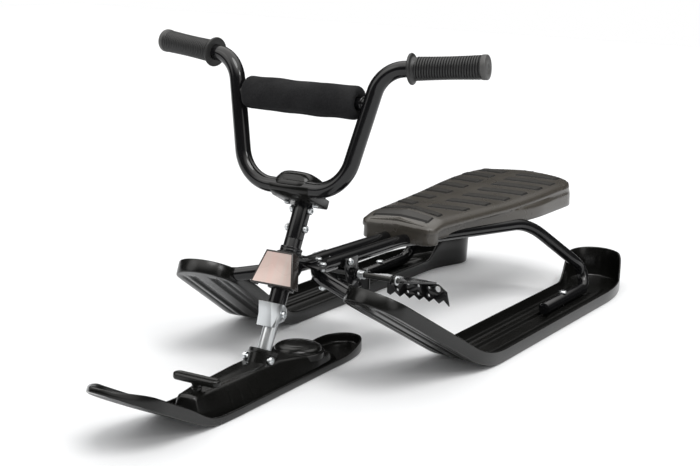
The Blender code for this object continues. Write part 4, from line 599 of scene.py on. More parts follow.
def front_half(s):
    """Half width of the front ski: a round tail, a body that widens forward, and a tip."""
    if s > TAIL_FROM_S:
        tail = min(1.0, (s - TAIL_FROM_S) / (FRONT_TAIL_S - TAIL_FROM_S))
        return TAIL_HALF * max(0.0, 1.0 - tail ** 3) ** 0.5
    if s > SHOVEL_FROM_S:
        share = (TAIL_FROM_S - s) / (TAIL_FROM_S - SHOVEL_FROM_S)
        return TAIL_HALF + (SHOVEL_HALF - TAIL_HALF) * share
    tip = min(1.0, max(0.0, (s - FRONT_TIP_S) / TIP_LENGTH))
    return SHOVEL_HALF * sin(pi / 2 * tip) ** 0.75


def front_ski():
    """The front ski: a low tray with a ridged shovel."""
    tip = [FRONT_TIP_S + TIP_LENGTH * (i / 22) ** 1.9 for i in range(23)]
    tail = [FRONT_TAIL_S - 0.118 * (1 - i / 22) ** 1.9 for i in range(23)]
    stations = tip + list(np.arange(tip[-1] + 0.008, -0.488, 0.010))
    stations += list(np.arange(-0.482, -0.385, 0.005)) + list(np.arange(-0.375, -0.145, 0.020))
    stations += tail
    columns = (35, 32.5, 31, 29.5, 27, 24.5, 23, 21.5, 19, 17.8, 16, 13.5, 11, 9.6, 8.3, 6, 5,
               3.5, 1.8)

    def rim(u, s):
        shovel = 0.011 + 0.005 * ramp(-s, 0.425, 0.500) + 0.007 * ramp(s, -0.112, -0.045)
        return float(0.007 + (shovel - 0.007) * ramp(s, FRONT_TIP_S, FRONT_TIP_S + 0.070))

    def relief(u, s):
        run = float(ramp(s, FRONT_TIP_S + 0.024, FRONT_TIP_S + 0.050)
                    * (1 - ramp(s, -0.475, -0.452)))
        return sum(ridge(u, at, 0.0052, 0.0018, 0.0025) for at in FRONT_RIDGES) * run

    def sole(u, s):
        run = float(ramp(s, FRONT_TIP_S + 0.014, FRONT_TIP_S + 0.036)
                    * (1 - ramp(s, -0.455, -0.425)))
        return run * sum(ridge(u, at, 0.0042, 0.0014, 0.0022) for at in FRONT_RIDGES)

    line = MiddleLine(front_pitch, lambda s: 0.0, FRONT_TIP_S, FRONT_TAIL_S, 0.0, (0, 0, 0))
    bm = tray(front_half, stations, line, rim, relief, sole, columns)
    add("front_ski_tray", bm, PLASTIC, "front_ski", 50)


TUBE_R = 0.0098


def frame_tubes():
    """The two bent tubes: from the skis' tips up to the head, back under the seat and down into
    the skis' beds."""
    line = ski_line(1)
    corners = [line.place(-0.006, TIP_S + SKI_HALF - 0.004, 0.0131),
               line.place(-0.045, TIP_S + SKI_HALF - 0.010, 0.0138), (0.0145, -0.172, 0.1465),
               (0.0145, 0.087, 0.143), (0.098, 0.380, 0.134), (0.158, 0.446, 0.066),
               (SKI_X, 0.512, 0.0175), (SKI_X, 0.285, 0.0175)]
    path = bend(corners, [0.020, 0.045, 0.090, 0.090, 0.060, 0.024])
    for label, side in SIDES:
        way = path if side > 0 else mirrored(path)
        add("frame_bar_" + label, bar(way, TUBE_R, 32, 0.0015), COAT, "frame_tube_" + label)


# Fittings are stacks of rings, each at a share of a radius and of a height. The third number is
# 1 where a ring is six-sided.
HEAD_RINGS = ((0.96, 0, 0), (1, 0.12, 0), (1, 0.35, 0), (0.93, 0.72, 0), (0.78, 0.95, 0),
              (0.62, 1, 0), (0.50, 1, 1), (0.48, 0.90, 1), (0.48, 0.40, 1))
NUT_RINGS = ((0.90, 0, 0), (1, 0.14, 1), (1, 0.62, 1), (0.90, 0.76, 0), (0.74, 0.78, 0),
             (0.70, 0.97, 0), (0.62, 1, 0))


def ring_at(radius, height, six=False, count=24):
    points = []
    for a in turns(count):
        r = radius
        if six:
            off = (a + pi / 6) % (pi / 3) - pi / 6
            r = radius * cos(pi / 6) / cos(off)
        points.append((r * cos(a), r * sin(a), height))
    return points


def stack(levels, radius, height):
    return skin([ring_at(radius * wide, height * high, six) for wide, high, six in levels])


def fitting(node, seat, way, length, radius, head, nut=None):
    """A plated bolt: domed head with a socket, shank, and its nut if it has one. The sizes are in
    millimetres, and the head and the nut are given by radius and height."""
    length, radius = length * MM, radius * MM
    wide, high = head[0] * MM, head[1] * MM
    bm = join(stack(HEAD_RINGS, wide, -high),
              skin([ring_at(radius, -high * 0.2), ring_at(radius, length - 0.0006),
                    ring_at(radius * 0.8, length)]))
    if nut:
        wide, high = nut[0] * MM, nut[1] * MM
        shift = Matrix.Translation((0, 0, length - high - radius / 2))
        bm = join(bm, moved(stack(NUT_RINGS, wide, high), shift))
    add(node + "_fitting", moved(bm, pointing(seat, Vector(way).normalized())), ZINC, node)


def side_nut(node, radius, place):
    """A nut of its own on the far end of a bolt that runs across."""
    nut = stack(NUT_RINGS, radius, 0.005)
    add(node + "_fitting", moved(nut, pointing(place, TO_RIGHT)), ZINC, node)


def fittings():
    """Every bolt, screw and nut."""
    for label, side in SIDES:
        fitting("ski_bolt_" + label, (side * SKI_X, 0.363, 0.0276), DOWN, 26.4, 3, (6.5, 4))
        for number in (1, 2):
            node = "head_plate_bolt_%s_%d" % (label, number)
            low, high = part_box(node)
            middle = (low + high) / 2
            fitting(node, (middle.x, middle.y, high.z - 0.003), DOWN,
                    (high.z - low.z) / MM - 3, 2.5, (5, 3), (5, 4))
        fitting("clamp_screw_" + label, on_axis(0.2092, -0.006, side * 0.023),
                on_axis(1) - on_axis(0), 26, 2.5, (4.5, 3))
    for label, w in (("lower", 0.1752), ("upper", 0.2018)):
        fitting("stem_bolt_" + label, on_axis(w, x=0.0128), TO_RIGHT, 32.3, 3, (5.5, 4))
        side_nut("stem_nut_" + label, 0.0058, on_axis(w, x=-0.0128))
    fitting("fork_bolt", on_axis(0.053, x=0.0151), TO_RIGHT, 36, 3, (5.5, 3.5), (5.2, 4))
    reach = Vector((0.0193, 0, 0))
    fitting("pivot_bolt", PIVOT + reach, TO_RIGHT, 45.6, 3.5, (5.8, 3.5))
    side_nut("pivot_nut", 0.0065, PIVOT - reach)
    fitting("brake_bracket_bolt", (0.0290, -0.087, 0.1453), TO_RIGHT, 64.3, 3, (5.5, 4), (5.5, 4.5))
    for label, y in (("front", 0.132), ("rear", 0.300)):
        low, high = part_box("seat_screw_" + label)
        fitting("seat_screw_" + label, (0, y, low.z + 0.0025), (0, 0, 1), 14, 2, (4.5, 2.5))


def column():
    """Plated foot, black column and stem, collar and bushes, all turned on the steering axis."""
    turned("lower_column_pipe", "lower_column", ZINC, band(7.95, 9.75, -4, 75))
    turned("column_pipe", "column_tube", COAT,
           [(10.05, 46), (12.5, 46), (12.5, 158.7), (10.4, 158.7), (10.4, 210.5), (8.6, 210.5),
            (8.6, 86), (10.05, 78)], 0.5)
    turned("stem_pipe", "stem_tube", COAT, band(10.7, 12.5, 159, 220.5))
    turned("column_ring", "column_collar", COAT,
           [(12.8, 138.8), (15.5, 138.8), (15.5, 142.3), (15.0, 143.0), (15.5, 143.7),
            (15.5, 146.8), (12.8, 146.8)], 0.7)
    for label, end, way in (("upper", 135, 1), ("lower", 90, -1)):
        flange, top, foot = end + way * 0.3, end + way * 3.3, end - way * 12
        turned("head_bush_ring_" + label, "head_bush_" + label, PLASTIC,
               [(13.3, top), (18.5, top), (18.5, flange), (14.9, flange), (14.9, foot),
                (13.3, foot)])


# Handlebar
BAR_TILT = radians(15.9)
BAR_R, CROSS_R, BEAD_R = 0.011, 0.008, 0.0012
FOOT_X = 0.0785
CORNER = Vector((0.118, 0.1693))
BAR_END = Vector((0.256, 0.185, 0.021))
CROSS_T = 0.1224


def bar_point(x, t, n=0.0):
    """A point of the handlebar's plane, t up from its foot and n out of the plane."""
    v = -0.0375 - sin(BAR_TILT) * t + cos(BAR_TILT) * n
    w = 0.2232 + cos(BAR_TILT) * t + sin(BAR_TILT) * n
    return on_axis(w, v, x)


def grip_point(side, x):
    """The point of a grip's axis at x from the middle plane, and the way along it."""
    inner = bar_point(side * CORNER.x, CORNER.y)
    way = (bar_point(side * BAR_END.x, BAR_END.y, BAR_END.z) - inner).normalized()
    return inner + way * (x - CORNER.x) / abs(way.x), way


def handlebar():
    """The bent bar with its crossbar welded between the legs."""
    half = [bar_point(*BAR_END), bar_point(*CORNER), bar_point(FOOT_X, 0.0)]
    path = bend(half + mirrored(half)[::-1], [0.045, 0.055, 0.055, 0.045])
    reach = FOOT_X + (CORNER.x - FOOT_X) * CROSS_T / CORNER.y - 0.004
    ends = [bar_point(side * reach, CROSS_T) for side in (-1, 1)]
    cross = [ends[0].lerp(ends[1], i / 8) for i in range(9)]
    bm = join(bar(path, BAR_R, 36), bar(cross, CROSS_R))
    for side in (-1, 1):
        bead = []
        for i in range(37):
            a = 2 * pi * i / 36
            turn = Vector((0, cos(a), sin(a))) * (CROSS_R + 0.0008)
            x = reach - 0.0062 - 0.0018 * abs(cos(a))
            bead.append(bar_point(side * x, CROSS_T) + turn)
        bm = join(bm, sweep(bead, BEAD_R, 8))
    add("handlebar_tube", bm, COAT, "handlebar")


def pad():
    """The foam roll round the crossbar in its cloth cover, a little uneven, with end hems."""
    half, radius, steps = 0.0902, 0.0235, 46
    end = [(r * MM, z * MM - half) for r, z in (
        (8.6, 4), (12.6, 1.2), (15, 0), (18.5, 0.4), (21.9, 2.2), (23.2, 5), (23.5, 8.5))]
    profile = end + [(radius, -half + 0.0085 + (2 * half - 0.017) * i / steps)
                     for i in range(1, steps)]
    profile += [(r, -z) for r, z in end[::-1]]
    rings = []
    for r, z in profile:
        ring = []
        for a in turns(64):
            soft = 0.0004 * sin(3 * a + 40 * z) + 0.0003 * sin(2 * a - 95 * z + 1.3)
            soft += 0.00025 * sin(5 * a + 130 * z)
            seam = 0.0010 * exp(-((a - 4.1) / 0.045) ** 2)
            hem = 0.0008 * exp(-((abs(z) - half + 0.0105) / 0.0008) ** 2)
            outer = 1.0 if r > 0.020 else 0.0
            here = r - outer * (0.0007 - soft + seam + hem)
            ring.append((here * cos(a), here * sin(a), z))
        rings.append(ring)
    bm = skin(rings + [rings[0]], caps=False)
    weld(bm)
    place = pointing(bar_point(0, CROSS_T), (1, 0, 0))
    obj = add("crossbar_roll", moved(bm, place), FOAM, "crossbar_pad", 60)


def grips():
    """Ribbed rubber grips with a flange at the inner end and a paler end cap."""
    ribs, rib_steps, slant, sleeve, depth = 24, 8, 0.0016, 0.0156, 0.0016
    flange = [(11.3, 1.5), (11.3, 0), (19.5, 0), (20.6, 0.6), (21, 2), (20.4, 3.3), (19, 4),
              (17, 4.6), (15.8, 6), (15.3, 8)]
    cap_profile = [(15, -7.4), (16.3, -6.8), (16.5, -6), (16.5, -1.8), (16, -0.6), (15, 0),
                   (5, 0), (4.4, -0.4), (4, -1), (1, -1)]
    for label, side in SIDES:
        start, way = grip_point(side, 0.157)
        tip, _ = grip_point(side, BAR_END.x)
        top = (tip - start).length + 0.0043
        place = pointing(start, way)
        rings = [(r * MM, z * MM) for r, z in flange]
        first, last = 0.0085, top - 0.0100
        for i in range(ribs * rib_steps + 1):
            z = first + (last - first) * i / (ribs * rib_steps)
            waist = sleeve - 0.0007 * sin(pi * (z - first) / (last - first))
            groove = max(0.0, cos(2 * pi * i / rib_steps)) ** 1.5
            rings.append((waist + 0.0003 - depth * groove, z))
        rings += [(0.0160, last + 0.0016), (0.0163, last + 0.0036)]
        body = [ring_at(r, z, count=40) for r, z in rings]
        for ring in body[len(flange):]:
            for k, (x, y, z) in enumerate(ring):
                ring[k] = (x, y, z + slant * y / sleeve * min(1.0, (last - z + 0.006) / 0.02))
        add("grip_sleeve_" + label, moved(skin(body), place), RUBBER, "grip_" + label, 55)
        cap = skin([ring_at(r * MM, top + z * MM, count=40) for r, z in cap_profile])
        add("grip_cap_" + label, moved(cap, place), CAP, "grip_" + label)


# Clamp, head and fork
def superellipse(half, power, angle):
    """Two places on a square with rounded corners."""
    return [copysign(abs(c) ** power, c) * half for c in (cos(angle), sin(angle))]


def clamp():
    """The block on the stem and its smooth hood over the bar."""
    crisp("clamp_base", PLASTIC, 0.0009, 3)
    low, middle = 0.22335, -0.0180
    rings = []
    for inset, height in ((1, 0), (0.2, 0.4), (0, 1.2), (0, 5.5), (0.4, 6.6), (1.2, 7.2),
                          (1.6, 8), (1.8, 11), (2.6, 14.5), (4.4, 17.8), (7.2, 20.6),
                          (11, 22.6), (16, 23.7), (22, 24.15)):
        ring = []
        for a in turns(72):
            x, v = superellipse(0.0320 - inset * MM, 0.5 if height < 12 else 0.62, a)
            ring.append(on_axis(low + height * MM, v + middle, x))
        rings.append(ring)
    add("clamp_hood", skin(rings), PLASTIC, "clamp_cover", 40)


def head_cover():
    """The bare cover in front of the head, its border standing a little proud."""
    bm = solid_form("head_cover")
    ahead = LEAN.to_3x3() @ Vector((0, -1, 0))

    def reach(face):
        return (face.calc_center_median() - AXIS_FOOT).dot(ahead)

    facing = [f for f in bm.faces if f.normal.dot(ahead) > 0.98]
    nearest = max(reach(f) for f in facing)
    front = [f for f in facing if reach(f) > nearest - 0.0005]
    for width, depth in ((0.0009, 0.0), (0.0004, -0.0005)):
        bmesh.ops.inset_region(bm, faces=front, thickness=width, depth=depth,
                               use_even_offset=True)
    for face in bm.faces:
        face.material_index = 1 if face in front else 0
    obj = add("head_cover_shell", bm, BORDER, "head_cover", 30)
    obj.data.materials.append(COVER.material)


def head():
    """Brackets and straps, which keep their solids' own forms."""
    for node, paint, width in (("head_bracket", COAT, 0.0006), ("head_top_plate", COAT, 0.0007),
                               ("fork_bracket", ZINC, 0.0005), ("pivot_lug", ZINC, 0.0004),
                               ("seat_strap_front", COAT, 0.0006),
                               ("seat_strap_rear", COAT, 0.0006)):
        crisp(node, paint, width)


# The front ski's hood in millimetres: at each y the half widths of its foot and of its top, and
# its height
SECTIONS = MM * np.array((
    (-432, 20, 14, 34), (-400, 30, 16, 37), (-340, 40, 18, 39), (-307, 41, 20, 40),
    (-250, 39.2, 22, 40), (-215, 38.2, 28, 36), (-174, 37, 33, 30), (-140, 35, 30, 26),
    (-112, 30, 20, 16)))
HOOD_FRONT, HOOD_REAR = -0.432, -0.112


def section(y):
    return [float(np.interp(y, SECTIONS[:, 0], SECTIONS[:, k])) for k in (1, 2, 3)]


def sole_rise(y):
    """Height of the front ski's sole at y."""
    s = at = height = 0.0
    while at > y:
        s -= FINE_STEP
        at -= FINE_STEP * cos(front_pitch(s))
        height -= FINE_STEP * sin(front_pitch(s))
    return height


def arc_corner(before, corner, after, radius):
    """Points of a rounded corner in a plane."""
    before, corner, after = Vector(before), Vector(corner), Vector(after)
    reach = min(radius, (before - corner).length * 0.45, (after - corner).length * 0.45)
    first = corner + (before - corner).normalized() * reach
    final = corner + (after - corner).normalized() * reach
    return [first * (1 - t) ** 2 + corner * 2 * t * (1 - t) + final * t ** 2
            for t in (i / 8 for i in range(9))]


def hood():
    """The moulded hood: soft shoulders, a ridge down its middle and round ends."""
    ys = [HOOD_FRONT, -0.4315, -0.4300, -0.4275]
    ys += list(np.arange(-0.424, -0.120, 0.006)) + [-0.1165, -0.1140, -0.1125, HOOD_REAR]
    rings = []
    for y in ys:
        ends = min(y - HOOD_FRONT, HOOD_REAR - y)
        pull = 0.0045 * (1 - sqrt(max(0.0, 1 - (1 - min(1.0, ends / 0.0045)) ** 2)))
        base, top, crown = (value - pull for value in section(y))
        foot = 0.0034 + 1.3 * sole_rise(y)
        right = [(base, foot), (base - 0.0002, foot + 0.0012)]
        right += [(p[0], p[1]) for p in arc_corner((base, foot), (top, crown - 0.0012),
                                                   (0.0, crown), 0.006)]
        right += [(0.0055, crown - 0.0004), (0.0040, crown), (0.0, crown)]
        rings.append([(x, y, z) for x, z in right] + [(-x, y, z) for x, z in right[:-1][::-1]])
    add("housing_hood", skin(rings), PLASTIC, "ski_housing", 50)


def rib(y, side, thick=0.0012):
    """A stiffening rib down the hood's flank."""
    base, top, height = section(y)
    low_x, low_z, high_x, high_z = base - 0.0012, 0.0050, top + 0.0008, height - 0.0036
    rings = []
    for i in range(9):
        t = i / 8
        x = low_x + (high_x - low_x) * t
        z = low_z + (high_z - low_z) * t
        out = 0.0016 * sin(pi * t) ** 0.5
        rings.append([(side * (x + off), y + thick * along, z) for off, along in (
            (-0.002, -1), (out, -0.5), (out, 0.5), (-0.002, 1))])
    return skin(rings)


def housing():
    """Hood, the column's socket with its lip, the reel's seat and dome, and the handle's post."""
    hood()
    post = soft_profile([(17.5, -18), (17.5, 1), (20.5, 1), (20.5, -4.5), (19.6, -5.6),
                         (19.6, -39.5), (0, -39.5)], 0.6)
    bm = lathe([(0.0, -0.018)] + post, LEAN)
    for side in (-1, 1):
        for y in (-0.372, -0.352, -0.332, -0.312):
            bm = join(bm, rib(y, side))
    add("housing_socket", bm, PLASTIC, "ski_housing", 45)
    turned("reel_seat_ring", "ski_housing", PLASTIC,
           [(34.5, 22), (37.5, 22), (37.5, 30), (36.2, 31.2), (34.5, 31.2)], 0.5, REEL, 64)
    dome = [(0, 41), (8, 40.9), (16, 40.4), (22.5, 39.6), (23.2, 38.9), (24, 38.8), (24.8, 39.2),
            (28.5, 38), (31, 36.7), (32.8, 35), (33.8, 32.5), (34, 30), (34, 24.5), (31.5, 24),
            (31.5, 31), (29, 34.2), (24, 36.2), (6, 37.8), (6, 22.5), (0, 22.5)]
    add("reel_dome", lathe([(r * MM, z * MM) for r, z in dome], REEL, 72), PLASTIC,
        "reel_cover", 40)
    turned("reel_drum", "cord_reel", PLASTIC,
           [(3.8, 8.8), (22, 8.8), (22, 10.3), (12, 10.6), (12, 17), (22, 17.3), (22, 18.8),
            (3.8, 18.8)], 0.5, REEL)
    turned("handle_post", "ski_housing", PLASTIC,
           [(0, 30), (9, 30), (9, 33.5), (6.4, 35.8), (6.4, 39.1), (3.5, 39.1), (3.5, 49.4),
            (0, 49.4)], 0.5, HANDLE)


def tow_handle():
    """A rounded bar on a short neck, with a shallow hollow along its top."""
    half, deep, low = 0.036, 0.0085, 0.0445
    rings = []
    for inset, height in ((3.4, 0), (1.6, 0.3), (0.5, 1.2), (0, 3), (0, 6), (0.5, 7.8),
                          (1.4, 8.7), (2.4, 9), (3.4, 8.7), (4.2, 8), (5.8, 7.7)):
        ring = []
        r = deep - inset * MM
        for a in turns(64):
            cx = copysign(half - deep, cos(a)) if abs(cos(a)) > 1e-9 else 0.0
            ring.append((cx + r * cos(a), HANDLE_Y + r * sin(a), low + height * MM))
        rings.append(ring)
    neck = soft_profile([(4.3, 39.5), (6.5, 39.5), (6.5, 42.5), (8, 45), (4.3, 45)], 0.6)
    add("tow_bar", join(skin(rings), lathe(neck, HANDLE)), PLASTIC, "pull_handle", 40)


# Seat
SEAT_FRONT, SEAT_REAR, SEAT_RIM = 0.095, 0.597, 0.138
SEAT_CORNER, SEAT_ROUND = 0.018, 0.065
SEAT_ROLL, NOSE_DROP, TREAD_HEIGHT = 0.0120, 0.0075, 0.0019


def seat_half(y):
    return 0.0645 + 0.0360 * ramp(y, 0.040, 0.500)


def panel_half(y):
    """Half width of the skirt's lower part, which is drawn in."""
    waist = 0.045 + 0.0585 * ramp(y, 0.110, 0.440)
    return waist + 0.0195 * (1 - ramp(y, 0.118, 0.134))


def capped(y, half):
    """Half width with the front's corners and the rear rounded."""
    front, rear = y - SEAT_FRONT, SEAT_REAR - y
    past = np.maximum(SEAT_CORNER - front, 0)
    corner = half - SEAT_CORNER + np.sqrt(np.maximum(0.0, SEAT_CORNER ** 2 - past ** 2))
    share = 1 - np.clip(rear / SEAT_ROUND, 0, 1)
    tail = half * np.maximum(0.0, 1 - share ** 3) ** 0.45
    return np.where(front < SEAT_CORNER, corner, tail)


def seat_edge(y):
    return 0.173 + 0.005 * ramp(y, 0.300, 0.520)


def seat_roof(x, y):
    """Height of the seat's top."""
    spine = seat_edge(y) + 0.012 * (0.45 + 0.55 * ramp(y, 0.095, 0.140)) * (
        1 - 0.4 * ramp(y, 0.557, 0.597))
    share = np.minimum(1.0, np.abs(x) / np.maximum(0.02, seat_half(y)))
    return spine - (spine - seat_edge(y)) * (share ** 1.25 * 0.80 + 0.20 * share ** 6)


def tread_bar(x, y, centre, length, inner, outer, sweep):
    """1 on a swept tread bar with rounded corners, 0 outside it."""
    corner, soft = 0.003, 0.0016
    along = np.abs(x)
    share = (along - inner) / (outer - inner)
    across = y - (centre - sweep / 2) - sweep * share
    slope = cos(atan(sweep / (outer - inner)))
    dx = np.abs(along - (inner + outer) / 2) - (outer - inner) / 2 + corner
    dy = (np.abs(across) - length / 2) * slope + corner
    away = np.hypot(np.maximum(dx, 0), np.maximum(dy, 0)) + np.minimum(np.maximum(dx, dy), 0)
    return 1 - ramp(away - corner, -soft, 0.0)


def seat_tread(x, y):
    """1 on the tread bars of the seat's top and 0 between them."""
    raised = np.zeros_like(x)
    for i in range(7):
        centre = 0.203 + 0.064 * i - 0.0014 * i * i
        outer = float(seat_half(centre)) - 0.013 - 0.012 * float(ramp(centre, 0.500, 0.540))
        raised = np.maximum(raised, tread_bar(x, y, centre, 0.025, 0.013, outer, 0.037))
    for centre, outer in ((0.149, 0.052), (0.121, 0.050)):
        bow = y + 0.10 * np.abs(x) ** 1.4
        raised = np.maximum(raised, tread_bar(x, bow, centre, 0.0185, -outer, outer, 0.0))
    return raised


def seat_top():
    """Rows of points over the seat's top, and where each stands on a tread bar."""
    rows = np.concatenate([
        SEAT_FRONT + SEAT_CORNER * (1 - np.cos(np.pi / 2 * np.arange(12) / 12)),
        np.arange(0.1135, 0.532, 0.0014),
        0.532 + SEAT_ROUND * np.sin(np.pi / 2 * np.arange(1, 31) / 30)])
    rows = np.clip(rows, SEAT_FRONT + 0.0004, SEAT_REAR - 0.0004)
    t = np.linspace(-1, 1, 129)
    half = np.maximum(capped(rows, seat_half(rows)) - 0.0004, 0.0)
    half[-1] = 0.0
    x = half[:, None] * t[None, :]
    y = np.repeat(rows[:, None], len(t), axis=1)
    outline = np.concatenate([np.stack([x[:, 0], y[:, 0]], 1), np.stack([x[:, -1], y[:, -1]], 1),
                              np.stack([x[0], y[0]], 1)])
    away = np.full(x.shape, 1.0)
    for px, py in outline[::2]:
        away = np.minimum(away, np.hypot(x - px, y - py))
    away[:, 0] = away[:, -1] = 0.0
    away[0] = away[-1] = 0.0
    over = np.clip(SEAT_ROLL - away, 0, SEAT_ROLL)
    fall = SEAT_ROLL - np.sqrt(np.maximum(SEAT_ROLL ** 2 - over ** 2, 0.0))
    raised = seat_tread(x, y) * ramp(away, 0.004, 0.008)
    nose = NOSE_DROP * (1 - ramp(y, SEAT_FRONT - 0.012, SEAT_FRONT + 0.042))
    z = seat_roof(x, y) - fall * 0.62 - nose + TREAD_HEIGHT * raised - 0.0006
    return x, y, z, raised


# The seat's rim, in millimetres: height above its lowest edge, how far towards the top's full
# width it reaches, and how far in.
SKIRT = ((23.5, 0.35, 0.3), (20.5, 0.08, 0.4), (18, 0, 0.5), (8, 0, 0.4), (1.2, 0, 0.3),
         (0.3, 0, 0.8), (0, 0, 1.6), (0.3, 0, 2.4), (1.2, 0, 2.9), (18, 0, 3), (22.5, 0.3, 3.4))


def skirt(p):
    """Points below p: down the outside, round the rim and up the inner wall."""
    top = float(seat_edge(p.y))
    slim = float(panel_half(p.y)) / float(seat_half(p.y))
    run = (p.y - SEAT_FRONT) / (SEAT_REAR - SEAT_FRONT)
    levels = [(p.z - 0.0012, 1.0, 0.0), (p.z - 0.0022, 1.0, 0.0), (p.z - 0.0034, 0.997, 0.0)]
    levels += [(SEAT_RIM + height * MM, wide + (1 - wide) * slim, inset * MM)
               for height, wide, inset in SKIRT]
    levels += [(top - 0.0090, 0.99, 0.0036), (top - 0.0045, 0.96, 0.0045)]
    points = []
    for height, share, inset in levels:
        keep = max(0.0, abs(p.x) * share - inset)
        points.append((copysign(keep, p.x), p.y + inset * (1 - 2 * run), height))
    return points


def seat():
    """The moulded seat: treaded top with painted shade on the bars' sloped walls, rolled edge,
    drawn-in skirt and an inner wall.
    """
    x, y, z, raised = seat_top()
    count_y, count_x = x.shape
    bm = bmesh.new()
    grid = [[bm.verts.new((x[i, j], y[i, j], z[i, j])) for j in range(count_x)]
            for i in range(count_y - 1)]
    high = {v: d for row, heights in zip(grid, raised) for v, d in zip(row, heights)}
    tip = bm.verts.new((0.0, y[-1, 0], z[-1, count_x // 2]))
    for a, b in zip(grid, grid[1:]):
        for j in range(count_x - 1):
            face = bm.faces.new((a[j], a[j + 1], b[j + 1], b[j]))
            levels = [high[v] for v in face.verts]
            if max(levels) > 0.04:
                # Faces on a tread bar's top take the tread colour (1); faces on its sloped walls
                # take the painted shade (2)
                face.material_index = 1 if min(levels) > 0.80 else 2
    for j in range(count_x - 1):
        bm.faces.new((grid[-1][j], grid[-1][j + 1], tip))
    loop = [row[-1] for row in grid] + [tip] + [row[0] for row in grid[::-1]] + grid[0][1:-1]
    rings = [loop] + [[bm.verts.new(point) for point in ring]
                      for ring in zip(*[skirt(v.co.copy()) for v in loop])]
    for a, b in zip(rings, rings[1:]):
        for i in range(len(loop)):
            j = (i + 1) % len(loop)
            bm.faces.new((a[i], a[j], b[j], b[i]))
    last, rows = rings[-1], len(grid)
    right, left = last[:rows], last[rows + 1:2 * rows + 1][::-1]
    crown = []
    for v in right:
        top = float(seat_roof(np.array(0.0), np.array(v.co.y))) - 0.0045
        crown.append(bm.verts.new((0.0, v.co.y, top)))
    for i in range(rows - 1):
        bm.faces.new((right[i], right[i + 1], crown[i + 1], crown[i]))
        bm.faces.new((crown[i], crown[i + 1], left[i + 1], left[i]))
    bm.faces.new((right[-1], last[rows], crown[-1]))
    bm.faces.new((crown[-1], last[rows], left[-1]))
    bm.faces.new([left[0]] + last[2 * rows + 1:] + [right[0], crown[0]])
    bosses = []
    for at, low in ((0.132, 0.1545), (0.300, 0.1494)):
        profile = [(0.0024, low), (0.0070, low), (0.0074, 0.178), (0.0024, 0.178)]
        bosses.append(lathe(profile, Matrix.Translation((0, at, 0)), 32))
    shell = add("seat_shell", join(bm, *bosses), SEAT_FINISH, "seat", 42)
    shell.data.materials.append(SEAT_TREAD.material)
    # Third material: the painted shade on the tread bars' walls
    shell.data.materials.append(SEAT_BAR_WALL_SHADE.material)


def brake():
    """Toothed plates, bracket, axle with clips and the two wound springs."""
    per_turn, coil, wire, pitch = 28, 0.0055, 0.0007, 0.0021
    for label, side in SIDES:
        crisp("brake_plate_" + label, COAT)
        low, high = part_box("axle_clip_" + label)
        turned("axle_ring_" + label, "axle_clip_" + label, ZINC, band(4.3, 6.8, -0.75, 0.75),
               0.3, pointing((low + high) / 2, (1, 0, 0)))
        path = []
        for i in range(5 * per_turn + 1):
            a = 2 * pi * i / per_turn
            path.append(Vector((side * (0.0375 + pitch * i / per_turn),
                                AXLE.y + coil * cos(a), AXLE.z + coil * sin(a))))
        path = [path[0] + Vector((0, 0, -0.009 + 0.0015 * k)) for k in range(6)] + path
        path += [path[-1] + Vector((0, 0, 0.0015 * k)) for k in range(1, 7)]
        add("brake_coil_" + label, sweep(path, wire, 10), ZINC, "brake_spring_" + label)
    crisp("brake_bracket", COAT)
    rod = [AXLE + Vector((x, 0, 0)) for x in (-0.104, -0.05, 0.0, 0.05, 0.104)]
    add("brake_rod", bar(rod, 0.004, soft=0.0006), DARK_STEEL, "brake_axle")


for make in (rear_skis, front_ski, frame_tubes, fittings, column, handlebar, pad, grips, clamp,
             head_cover, head, housing, tow_handle, seat, brake):
    make()

PAINTS = {"painted_steel": COAT, "zinc": ZINC, "black_plastic": PLASTIC,
          "seat_plastic": SEAT_FINISH, "rubber": RUBBER, "foam_cover": FOAM,
          "cover_plastic": COVER}
for node, obj in frame["nodes"].items():
    if not obj.hide_render:
        for holder in obj.material_slots:
            holder.material = PAINTS[SLOT_OF[node]].material


# Studio: where the mirrored light panels stand, where each one's edge starts and ends, and its
# strength; then the two lamps with their ways, energies and angles
PANELS = (((-0.62, -0.62, 0.48), 0.93, 0.97, 1.8), ((0.93, -0.15, 0.34), 0.94, 0.975, 1.3))
LAMPS = (("key", (-0.35, 0.25, -0.90), 1.35, 30.0), ("side", (-0.80, 0.10, -0.60), 0.35, 12.0))


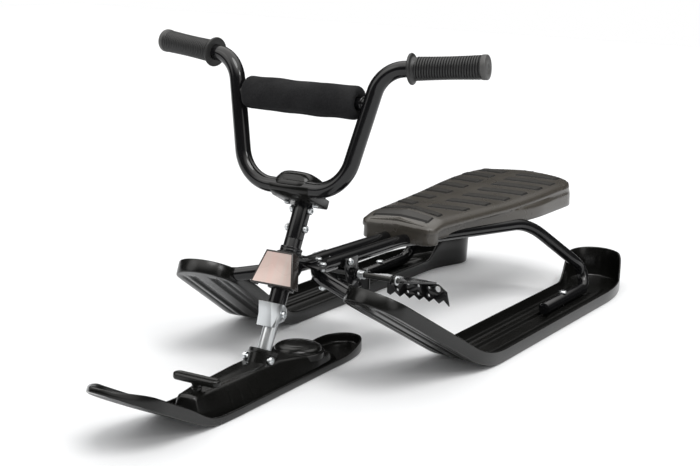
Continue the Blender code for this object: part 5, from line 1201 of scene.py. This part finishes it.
def studio():
    """A white floor that keeps the shadow, white walls of light and two soft lamps."""
    bm = bmesh.new()
    bmesh.ops.create_grid(bm, x_segments=1, y_segments=1, size=6.0)
    mesh = bpy.data.meshes.new("floor")
    bm.to_mesh(mesh)
    bm.free()
    floor_object = shown("floor", mesh)
    floor_object.location.z = -0.0004
    mesh.materials.append(Paint("floor", (0.95, 0.95, 0.95), 0.60, shine=0.10).material)
    world = bpy.data.worlds.new("studio")
    bpy.context.scene.world = world
    world.use_nodes = True
    world.node_tree.nodes.clear()
    sky = Nodes(world.node_tree)

    def light(colour, strength):
        return sky.node("Background", Color=(*colour, 1.0), Strength=strength)

    def choose(factor, first, second):
        """The second light where the factor is 1, else the first."""
        made = sky.node("MixShader")
        for i, source in enumerate((factor, first.outputs[0], second.outputs[0])):
            sky.link(source, made.inputs[i])
        return made

    ray, out = sky.node("LightPath"), sky.node("OutputWorld")
    way = sky.node("TexCoord").outputs["Generated"]
    split = sky.node("SeparateXYZ")
    sky.link(way, split.inputs[0])
    total = sky.spread(split.outputs["Z"], 0.04, 2.3, 0.42, 0.85, smooth=True)
    for stand, start, end, strength in PANELS:
        facing = sky.node("VectorMath")
        facing.operation = "DOT_PRODUCT"
        facing.inputs[1].default_value = Vector(stand).normalized()
        sky.link(way, facing.inputs[0])
        panel = sky.spread(facing.outputs["Value"], 0.0, strength, start, end, smooth=True)
        total = sky.maths("ADD", total, panel)
    reflected = light((1.0, 0.99, 0.97), 1.0)
    sky.link(total, reflected.inputs["Strength"])
    lit = choose(ray.outputs["Is Glossy Ray"], light((0.98, 0.99, 1.0), 0.80), reflected)
    seen = choose(ray.outputs["Is Camera Ray"], lit, light((1.0, 1.0, 1.0), 1.0))
    sky.link(seen.outputs[0], out.inputs["Surface"])
    for name, direction, energy, angle in LAMPS:
        lamp = bpy.data.lights.new(name, "SUN")
        lamp.energy = energy
        lamp.angle = radians(angle)
        turn = Vector(direction).to_track_quat("-Z", "Y")
        shown(name, lamp).rotation_euler = turn.to_euler()


# The photograph's own camera, solved from mirrored points and parallel edges: its place, its lens
# in millimetres, and how far it is turned, tipped down and rolled in degrees
CAMERA_PLACE, CAMERA_LENS, CAMERA_TURNS = (1.0334, -1.7668, 0.6168), 72.06, (30.90, 12.37, 1.685)


def camera():
    azimuth, elevation, roll = (radians(angle) for angle in CAMERA_TURNS)
    lens = bpy.data.cameras.new("camera")
    lens.lens = CAMERA_LENS
    lens.sensor_width = 36.0
    lens.clip_start = 0.05
    obj = shown("camera", lens)
    obj.matrix_world = (Matrix.Translation(CAMERA_PLACE)
                        @ Matrix.Rotation(azimuth, 4, "Z")
                        @ Matrix.Rotation(pi / 2 - elevation, 4, "X")
                        @ Matrix.Rotation(roll, 4, "Z"))
    bpy.context.scene.camera = obj


studio()
camera()
bpy.context.scene.view_settings.view_transform = "Standard"
